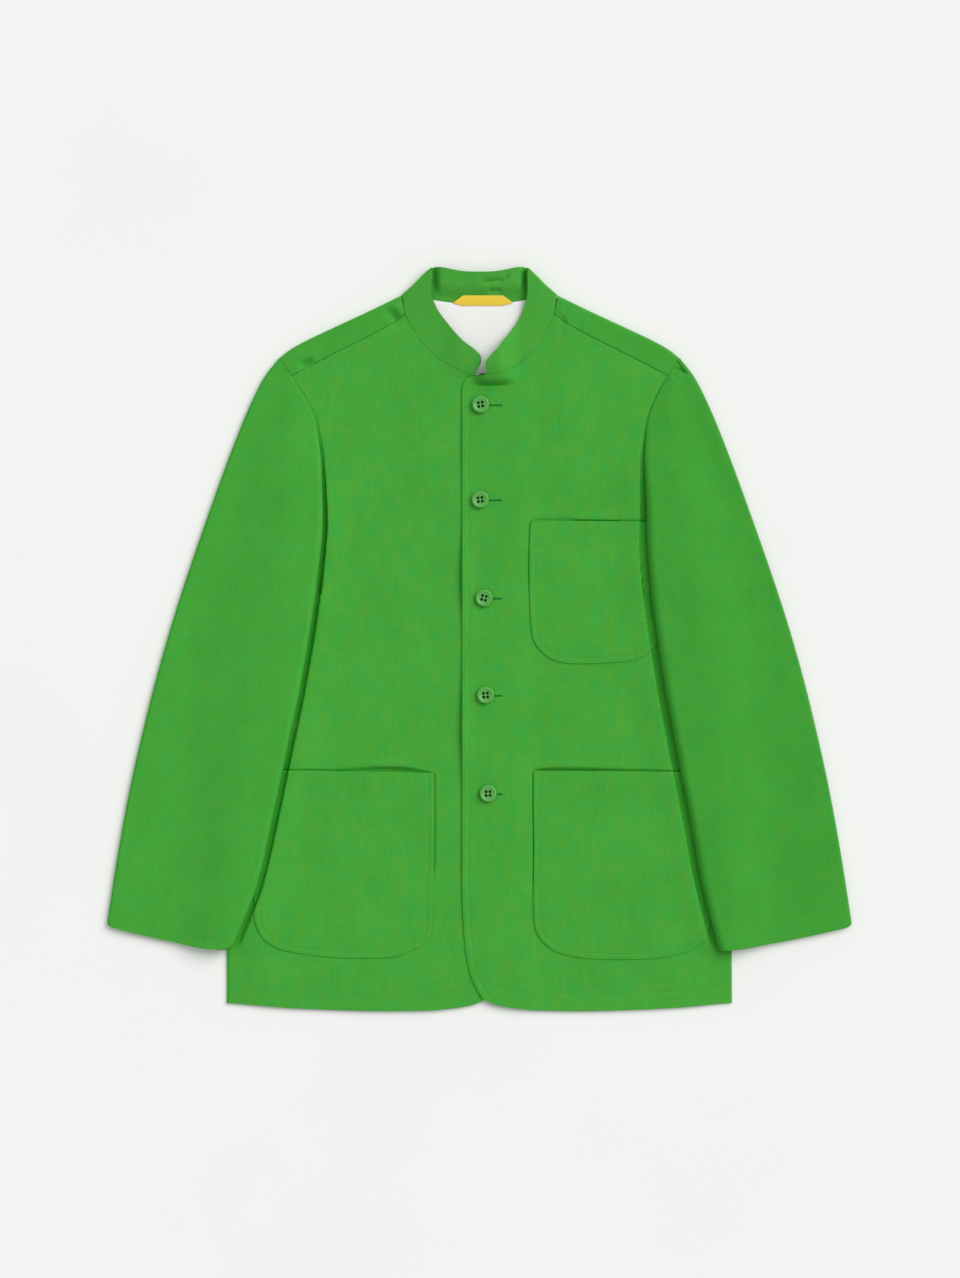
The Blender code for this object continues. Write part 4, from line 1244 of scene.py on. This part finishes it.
def sew(name, side, lines, height, paint):
    """Sewing along lines on one piece of cloth."""
    spots, headings = zip(*[along_line(line, height) for line in lines])
    flip = (side, 1, 1)
    stitches(name, np.concatenate(spots) * flip, np.concatenate(headings) * flip, STITCH_LENGTH, paint)


def front_sewing(name, side, paint):
    shares = np.linspace(0, 1, 300)
    edge_line, hem_line = front_edge_line(shares, side), front_hem_line(shares, side)[::-1]
    edge = edge_line + right_of(edge_line) * EDGE_STITCH
    hem = hem_line + right_of(hem_line) * HEM_STITCH
    edge = edge[(edge[:, 1] > hem[-1, 1]) & (edge[:, 1] < FRONT_EDGE_TOP - SEWN_BELOW_TOP)]
    hem = hem[away(hem[:, 0], hem[:, 1], edge_line) > EDGE_STITCH]
    sew(f"sewing_front_{name}", side, [edge, hem], lambda x, y: front_z(x, y, side), paint)


def pocket_sewing(pocket, paint):
    first = pocket.outline[0]
    x = np.array([first.inner_x + POCKET_STITCH, first.outer_x - POCKET_STITCH])
    lines = [pocket_line(pocket, POCKET_STITCH), pair(x, mouth_y(x, pocket) - POCKET_HEM)]
    sew(f"sewing_{pocket.name}", pocket.side, lines, lambda x, y: pocket_z(x, y, pocket), paint)


# Buttons

HOLES = [(x * BUTTON_HOLE_OFFSET, y * BUTTON_HOLE_OFFSET) for x in (-1, 1) for y in (-1, 1)]
DRILL = [
    (0.0, DRILL_LOW),
    (BUTTON_HOLE_RADIUS, DRILL_LOW),
    (BUTTON_HOLE_RADIUS, DRILL_HIGH),
    (0.0, DRILL_HIGH),
]


def lathe(profile, segments):
    """A turned solid as a mesh, with the profile's first and last rings on its axis."""
    shape = bmesh.new()
    turns = [2 * pi * k / segments for k in range(segments)]
    rings = []
    for radius, height in profile:
        around = turns if radius else [0.0]
        spots = [(radius * cos(a) * MM, radius * sin(a) * MM, height * MM) for a in around]
        rings.append([shape.verts.new(spot) for spot in spots])
    for low, high in zip(rings, rings[1:]):
        for k in range(segments):
            ahead = (k + 1) % segments
            below = [low[k % len(low)], low[ahead % len(low)]]
            above = [high[k % len(high)], high[ahead % len(high)]]
            shape.faces.new(dict.fromkeys([below[0], *above, below[1]]))
    bmesh.ops.recalc_face_normals(shape, faces=shape.faces)
    return settled(shape, "turned")


def drilled_button():
    """Mesh of a button with its four holes."""
    blank = bpy.data.objects.new("button_blank", lathe(BUTTON_PROFILE, 72))
    items = [blank]
    for x, y in HOLES:
        drill = bpy.data.objects.new("button_drill", lathe(DRILL, 20))
        drill.location = (x * MM, y * MM, 0)
        items.append(drill)
    for item in items:
        bpy.context.scene.collection.objects.link(item)
    for drill in items[1:]:
        modify(blank, "Hole", "BOOLEAN", operation="DIFFERENCE", object=drill)
    soften(blank, "Soft", BUTTON_SOFTENING, 50)
    mesh = bpy.data.meshes.new_from_object(blank.evaluated_get(bpy.context.evaluated_depsgraph_get()))
    for item in items:
        bpy.data.objects.remove(item, do_unlink=True)
    return mesh


def seat(x, y):
    """Height that a button lies at."""
    return float(front_z(np.array(x), np.array(y), 1)) + BUTTON_LIFT


def buttons(paint, thread, inside):
    """The buttons, each turned its own way, the thread on them, and the thread down in their holes painted
    near-black as shade.
    """
    mesh = drilled_button()
    floors = bmesh.new()
    radius = (BUTTON_HOLE_RADIUS - HOLE_CLEARANCE) * MM
    spots, headings = [], []
    for index, (x, y, turn) in enumerate(BUTTONS, 1):
        z = seat(x, y)
        made = new_object(f"button_{index}_disc", mesh.copy(), paint)
        made.rotation_euler.z = radians(turn)
        made.location = (x * MM, y * MM, z * MM)
        keep(made, "green_button", f"button_{index}")
        right, up = cos(radians(turn)), sin(radians(turn))
        for shift in (-BUTTON_HOLE_OFFSET, BUTTON_HOLE_OFFSET):
            spots.append((x + shift * right, y + shift * up, z + BUTTON_THREAD_Z))
            headings.append((-up, right, 0.0))
        place = Matrix.Translation(made.location) @ Matrix.Rotation(radians(turn), 4, "Z")
        # Dark plugs in the holes: the thread going down into them, painted near-black for the shade there
        for hole in HOLES:
            spot = Matrix.Translation(Vector((*hole, 0.5 * BUTTON_HOLE_FLOOR + HOLE_FLOOR_LIFT)) * MM)
            sizes = {"radius1": radius, "radius2": radius, "depth": BUTTON_HOLE_FLOOR * MM}
            bmesh.ops.create_cone(floors, cap_ends=True, segments=16, matrix=place @ spot, **sizes)
    stitches("button_thread", spots, headings, BUTTON_THREAD_LENGTH, thread, "green_button")
    floor_mesh = settled(floors, "button_hole_shade_plugs")
    keep(new_object("button_hole_shade_plugs", floor_mesh, inside), "green_button")


def buttonholes(thread, dark):
    """Worked buttonholes: close stitches on both sides of a slit painted dark as shade, and a bar at each
    end.
    """
    spots, headings, lengths, points, faces = [], [], [], [], []
    marks = np.arange(BUTTONHOLE_START, BUTTONHOLE_END, BUTTONHOLE_PITCH)
    bars = [BUTTONHOLE_START - BAR_OFFSET, BUTTONHOLE_END + BAR_OFFSET]
    for _, button_y, _ in BUTTONS:
        y = button_y - BUTTONHOLE_DROP
        for side in (-BUTTONHOLE_SIDE, BUTTONHOLE_SIDE):
            spots += [(x, y + side) for x in marks]
            headings += [(0.12, 1.0, 0.0)] * len(marks)
            lengths += [BUTTONHOLE_STITCH] * len(marks)
        for shift in (-BAR_PITCH, 0.0, BAR_PITCH):
            spots += [(x + shift, y) for x in bars]
            headings += [(0.0, 1.0, 0.0)] * len(bars)
            lengths += [BUTTONHOLE_BAR] * len(bars)
        # The slit is a sunken strip painted dark: painted shade in the cut
        first = len(points)
        for x, z in zip(marks, front_z(marks, np.full(len(marks), y), 1)):
            points += [(x, y - SLIT_HALF, z + SLIT_SIDE_LIFT), (x, y, z - SLIT_HALF)]
            points += [(x, y + SLIT_HALF, z + SLIT_SIDE_LIFT), (x, y, z + SLIT_LIFT)]
        last = len(points) - 4
        for low in range(first, last, 4):
            faces += [(low + k, low + 4 + k, low + 4 + (k + 1) % 4, low + (k + 1) % 4) for k in range(4)]
        faces += [(first, first + 1, first + 2, first + 3), (last + 3, last + 2, last + 1, last)]
    spots = np.array(spots)
    laid = level(spots, front_z(*spots.T, 1) + BUTTONHOLE_LIFT)
    stitches("buttonhole_sewing", laid, headings, lengths, thread)
    keep(new_object("buttonhole_slits", meshed("buttonhole_slits", points, faces), dark), "green_linen")


# Materials


class Shade:
    """A material's nodes, made and joined one by one."""

    def __init__(self, name):
        self.material = bpy.data.materials.new(name)
        self.material.use_nodes = True
        self.tree = self.material.node_tree

    def put(self, socket, value):
        if isinstance(value, bpy.types.NodeSocket):
            self.tree.links.new(value, socket)
        else:
            socket.default_value = value

    def node(self, kind, inputs, **settings):
        made = self.tree.nodes.new(f"ShaderNode{kind}")
        for name, value in settings.items():
            setattr(made, name, value)
        for name, value in inputs.items():
            self.put(made.inputs[name], value)
        return made.outputs

    def math(self, operation, first, second=0.0):
        return self.node("Math", {0: first, 1: second}, operation=operation)[0]

    def times(self, first, second):
        return self.math("MULTIPLY", first, second)

    def near(self, result, *changes):
        """A value changed by others from 0 to 1 about their middle, each with its strength."""
        for value, strength in changes:
            change = self.times(self.math("SUBTRACT", value, 0.5), strength)
            result = self.math("ADD", result, change)
        return result

    def mix(self, factor, first, second, **settings):
        return self.node("Mix", {0: factor, 6: first, 7: second}, data_type="RGBA", **settings)[2]

    def cloth(self):
        """Places on the flat cloth across and along its grain, in millimetres."""
        spread = self.node("UVMap", {}, uv_map="Cloth")[0]
        parts = self.node("SeparateXYZ", {0: spread})
        return [self.times(parts[axis], 1 / MM) for axis in (0, 1)]

    def noise(self, across, along, across_size, along_size, detail=2.0, rough=0.5):
        """Noise on the flat cloth, stretched to two sizes."""
        sized = {0: self.times(across, 1 / across_size), 1: self.times(along, 1 / along_size)}
        places = self.node("CombineXYZ", sized)[0]
        inputs = {"Vector": places, "Scale": 1.0, "Detail": detail, "Roughness": rough}
        return self.node("TexNoise", inputs, noise_dimensions="2D")["Fac"]

    def solid(self, kind, scale, inputs, **settings):
        """A pattern through the whole of a piece."""
        places = self.node("TexCoord", {})["Object"]
        return self.node(kind, {"Vector": places, "Scale": scale, **inputs}, **settings)["Fac"]

    def sine(self, value, pitch):
        return self.math("SINE", self.times(value, pi / pitch))

    def bump(self, height, distance):
        return self.node("Bump", {"Height": height, "Distance": distance * MM, "Strength": 1.0})[0]

    def finish(self, **sockets):
        shader = self.tree.nodes["Principled BSDF"]
        for name, value in sockets.items():
            self.put(shader.inputs[name.replace("_", " ").title().replace("Ior", "IOR")], value)
        return self.material


def colour(red, green, blue):
    """A colour given as it looks on a screen, from 0 to 255, as light."""
    parts = np.array([red, green, blue]) / 255
    return (*np.where(parts <= 0.04045, parts / 12.92, ((parts + 0.055) / 1.055) ** 2.4), 1.0)


def woven(shade, across, along, pitch):
    """Height of a plain weave: each thread over one and under the next."""
    warp, weft = shade.sine(across, pitch), shade.sine(along, pitch)
    over = shade.times(shade.times(warp, weft), 0.45)
    warp_top = shade.times(shade.math("ABSOLUTE", warp), shade.math("ADD", over, 0.55))
    weft_top = shade.times(shade.math("ABSOLUTE", weft), shade.math("SUBTRACT", 0.55, over))
    return shade.math("MAXIMUM", warp_top, weft_top)


def linen(name, tinted, dark, pale):
    """Green linen: a plain weave of uneven threads, thick and thin along both ways of the cloth, with
    painted shade in its hollows.
    """
    shade = Shade(name)
    across, along = shade.cloth()
    drift = shade.noise(across, along, 30.0, 30.0, detail=1.0)
    warp_at = shade.near(across, (drift, 3.0))
    weft_at = shade.near(along, (drift, -3.0))
    weave = woven(shade, warp_at, weft_at, 0.62)
    warp_slubs = shade.noise(warp_at, along, 0.9, 34.0, detail=2.5, rough=0.6)
    weft_slubs = shade.noise(across, weft_at, 26.0, 0.9, detail=2.5, rough=0.6)
    clouds = shade.noise(across, along, 46.0, 60.0, detail=3.0)
    tint = shade.noise(across, along, 13.0, 21.0, detail=3.0)
    light = shade.near(0.5, (warp_slubs, 0.9), (weft_slubs, 0.8), (clouds, 0.6), (weave, 0.4))
    green = shade.mix(light, dark, pale)
    warm = shade.mix(0.4, green, colour(94, 160, 44))
    cool = shade.mix(0.4, green, colour(38, 164, 72))
    flat = shade.mix(shade.near(0.5, (tint, tinted)), cool, warm)
    # Painted shade: an ambient occlusion node turns the colour towards a darker, deeper green in hollows
    # and under overlapping pieces
    open_sky = shade.node("AmbientOcclusion", {"Distance": PAINTED_SHADE_REACH * MM}, samples=4)["AO"]
    unshaded_share = shade.node("MapRange", {0: open_sky, 1: 0.25, 2: 0.8})[0]
    shaded_colour = shade.mix(1.0, flat, PAINTED_SHADE_TINT, blend_type="MULTIPLY")
    height = shade.near(weave, (warp_slubs, 0.7), (weft_slubs, 0.7))
    return shade.finish(
        base_color=shade.mix(unshaded_share, shaded_colour, flat),
        roughness=shade.near(0.86, (weave, -0.1)),
        normal=shade.bump(height, 0.1),
        specular_ior_level=0.05,
        sheen_weight=0.01,
        sheen_roughness=0.5,
    )


def sewing_thread(name, dark, pale):
    """Twisted thread in the cloth's own green."""
    shade = Shade(name)
    twist = shade.solid("TexWave", 900.0, {"Distortion": 2.0}, bands_direction="DIAGONAL")
    patchy = shade.solid("TexNoise", 260.0, {"Detail": 2.0})
    fibre = shade.near(0.5, (twist, 0.5), (patchy, 0.5))
    return shade.finish(
        base_color=shade.mix(fibre, dark, pale),
        roughness=shade.near(0.6, (patchy, 0.2)),
        normal=shade.bump(twist, 0.05),
        specular_ior_level=0.2,
        sheen_weight=0.03,
    )


def lining():
    """White lining with a fine smooth twill."""
    shade = Shade("white_lining")
    across, along = shade.cloth()
    rib = shade.math("ABSOLUTE", shade.sine(shade.math("ADD", across, along), 0.5))
    thread = shade.noise(across, along, 0.5, 22.0)
    cloud = shade.noise(across, along, 40.0, 40.0)
    light = shade.near(0.5, (thread, 0.6), (cloud, 0.5), (rib, 0.3))
    return shade.finish(
        base_color=shade.mix(light, colour(236, 236, 233), colour(246, 246, 244)),
        roughness=shade.near(0.5, (thread, 0.2)),
        normal=shade.bump(rib, 0.04),
        sheen_weight=0.1,
    )


def tab():
    """Yellow woven tab with a satin face, plain."""
    shade = Shade("yellow_tab")
    across, along = shade.cloth()
    rib = shade.math("ABSOLUTE", shade.sine(along, 0.4))
    thread = shade.noise(across, along, 7.0, 0.4)
    fibre = shade.noise(across, along, 0.35, 5.0, detail=1.0)
    light = shade.near(0.5, (thread, 0.7), (fibre, 0.5), (rib, 0.4))
    return shade.finish(
        base_color=shade.mix(light, colour(228, 190, 34), colour(241, 208, 52)),
        roughness=shade.near(0.5, (fibre, 0.25)),
        normal=shade.bump(rib, 0.05),
        sheen_weight=0.08,
    )


def button_plastic():
    """Pale green moulded plastic, faintly clouded, with fine turning marks."""
    shade = Shade("green_button")
    cloud = shade.solid("TexNoise", 190.0, {"Detail": 4.0, "Distortion": 1.4})
    rings = shade.solid("TexWave", 700.0, {}, wave_type="RINGS", rings_direction="Z")
    fleck = shade.solid("TexNoise", 1500.0, {"Detail": 1.0})
    light = shade.near(cloud, (rings, 0.12), (fleck, 0.15))
    return shade.finish(
        base_color=shade.mix(light, colour(66, 148, 56), colour(94, 177, 81)),
        roughness=shade.near(0.38, (fleck, 0.2)),
        normal=shade.bump(rings, 0.012),
    )


def speckled(name, dark, pale, scale, detail, rough):
    """A plain surface between two colours: painted shade in a button's hole or a buttonhole's slit, or the
    floor.
    """
    shade = Shade(name)
    grain = shade.solid("TexNoise", scale, {"Detail": detail})
    roughness = shade.near(rough, (grain, 0.1))
    return shade.finish(base_color=shade.mix(grain, dark, pale), roughness=roughness)


# Floor, light and camera


def key_light():
    """A wide soft light from the top right, even all over the floor."""
    light = bpy.data.lights.new("key", "SUN")
    light.energy = KEY_SHARE * pi / sin(KEY_CLIMB)
    light.angle = KEY_SOFTNESS
    light.color = (1.0, 0.995, 0.985)
    made = bpy.data.objects.new("key", light)
    towards = Vector((cos(KEY_TURN) * cos(KEY_CLIMB), sin(KEY_TURN) * cos(KEY_CLIMB), sin(KEY_CLIMB)))
    made.rotation_euler = towards.to_track_quat("Z", "Y").to_euler()
    bpy.context.scene.collection.objects.link(made)


def studio():
    paint = speckled("floor", colour(241, 242, 240), colour(246, 247, 245), 3.0, 3.0, 0.7)
    corners = [(-9000, -9000, 0), (9000, -9000, 0), (9000, 9000, 0), (-9000, 9000, 0)]
    floor = new_object("floor", meshed("floor", corners, [(0, 1, 2, 3)]), paint)
    floor.location.z = -0.0004

    world = bpy.data.worlds.new("studio")
    world.use_nodes = True
    sky = world.node_tree.nodes["Background"]
    sky.inputs["Color"].default_value = (1.0, 1.0, 1.0, 1.0)
    sky.inputs["Strength"].default_value = 1 - KEY_SHARE
    bpy.context.scene.world = world

    key_light()

    lens = bpy.data.cameras.new("camera")
    lens.lens = LENS
    lens.sensor_width = SENSOR
    eye = bpy.data.objects.new("camera", lens)
    eye.location = (0.0005, 0.0, FRAME_HEIGHT / 2 * LENS / (SENSOR / 2))
    bpy.context.scene.collection.objects.link(eye)
    bpy.context.scene.camera = eye
    bpy.context.scene.view_settings.view_transform = "Standard"


def jacket():
    green = linen("green_linen", 1.5, colour(58, 150, 46), colour(80, 180, 68))
    back_linen = linen("green_linen_back", 0.9, colour(53, 145, 43), colour(75, 174, 64))
    collar_linen = linen("green_linen_collar", 0.9, colour(59, 147, 45), colour(82, 175, 67))
    # Painted shade: the sleeves get darker copies of the linen, most on the wearer's left, for light that
    # falls off towards the sides
    shaded_sleeve_linens = {
        1: linen("green_linen_sleeve_left", 0.9, colour(49, 140, 39), colour(70, 168, 59)),
        -1: linen("green_linen_sleeve_right", 0.9, colour(55, 149, 45), colour(77, 178, 66)),
    }
    thread = sewing_thread("green_thread", colour(58, 140, 48), colour(80, 170, 68))
    hole_thread = sewing_thread("buttonhole_thread", colour(14, 124, 36), colour(34, 150, 50))
    button_thread = sewing_thread("button_thread", colour(18, 56, 14), colour(40, 86, 30))
    # Painted shade: near-black green for the thread down in the buttons' holes
    inside = speckled("button_hole_painted_shade", colour(6, 34, 8), colour(16, 52, 14), 900.0, 2.0, 0.9)
    # Painted shade: dark green in the buttonholes' slits
    slit = speckled("buttonhole_slit_shade", colour(6, 84, 28), colour(16, 110, 40), 900.0, 2.0, 0.9)

    cloth_piece("back", back(), back_linen, [])
    for name, side in SIDES.items():
        front_name, under_name, paint = f"front_{name}", f"sleeve_{name}_under", shaded_sleeve_linens[side]
        below = ["back"] if side < 0 else ["back", "front_right"]
        cloth_piece(front_name, front(side), green, below, side)
        cloth_piece(under_name, sleeve_under(side), paint, [front_name, "back"], side, faces_up=False)
        cloth_piece(f"sleeve_{name}_upper", sleeve_upper(side), paint, [under_name, front_name], side)
        front_sewing(name, side, thread)
    fronts = ["front_left", "front_right"]
    cloth_piece("collar", collar(), collar_linen, fronts, wall=COLLAR_WALL, rim=COLLAR_RIM)
    cloth_piece("back_lining", back_lining(), lining(), ["back"], wall=LINING_WALL, slot="white_lining")
    label_look = {"wall": LABEL_WALL, "slot": "yellow_tab", "rim": LABEL_RIM}
    cloth_piece("neck_label", neck_label(), tab(), ["back_lining"], **label_look)
    for pocket in POCKETS:
        carrier = ["front_left" if pocket.side > 0 else "front_right"]
        cloth_piece(pocket.name, pocket_rows(pocket), green, carrier, pocket.side, POCKET_WALL)
        pocket_sewing(pocket, thread)
    buttons(button_plastic(), button_thread, inside)
    buttonholes(hole_thread, slit)


jacket()
studio()
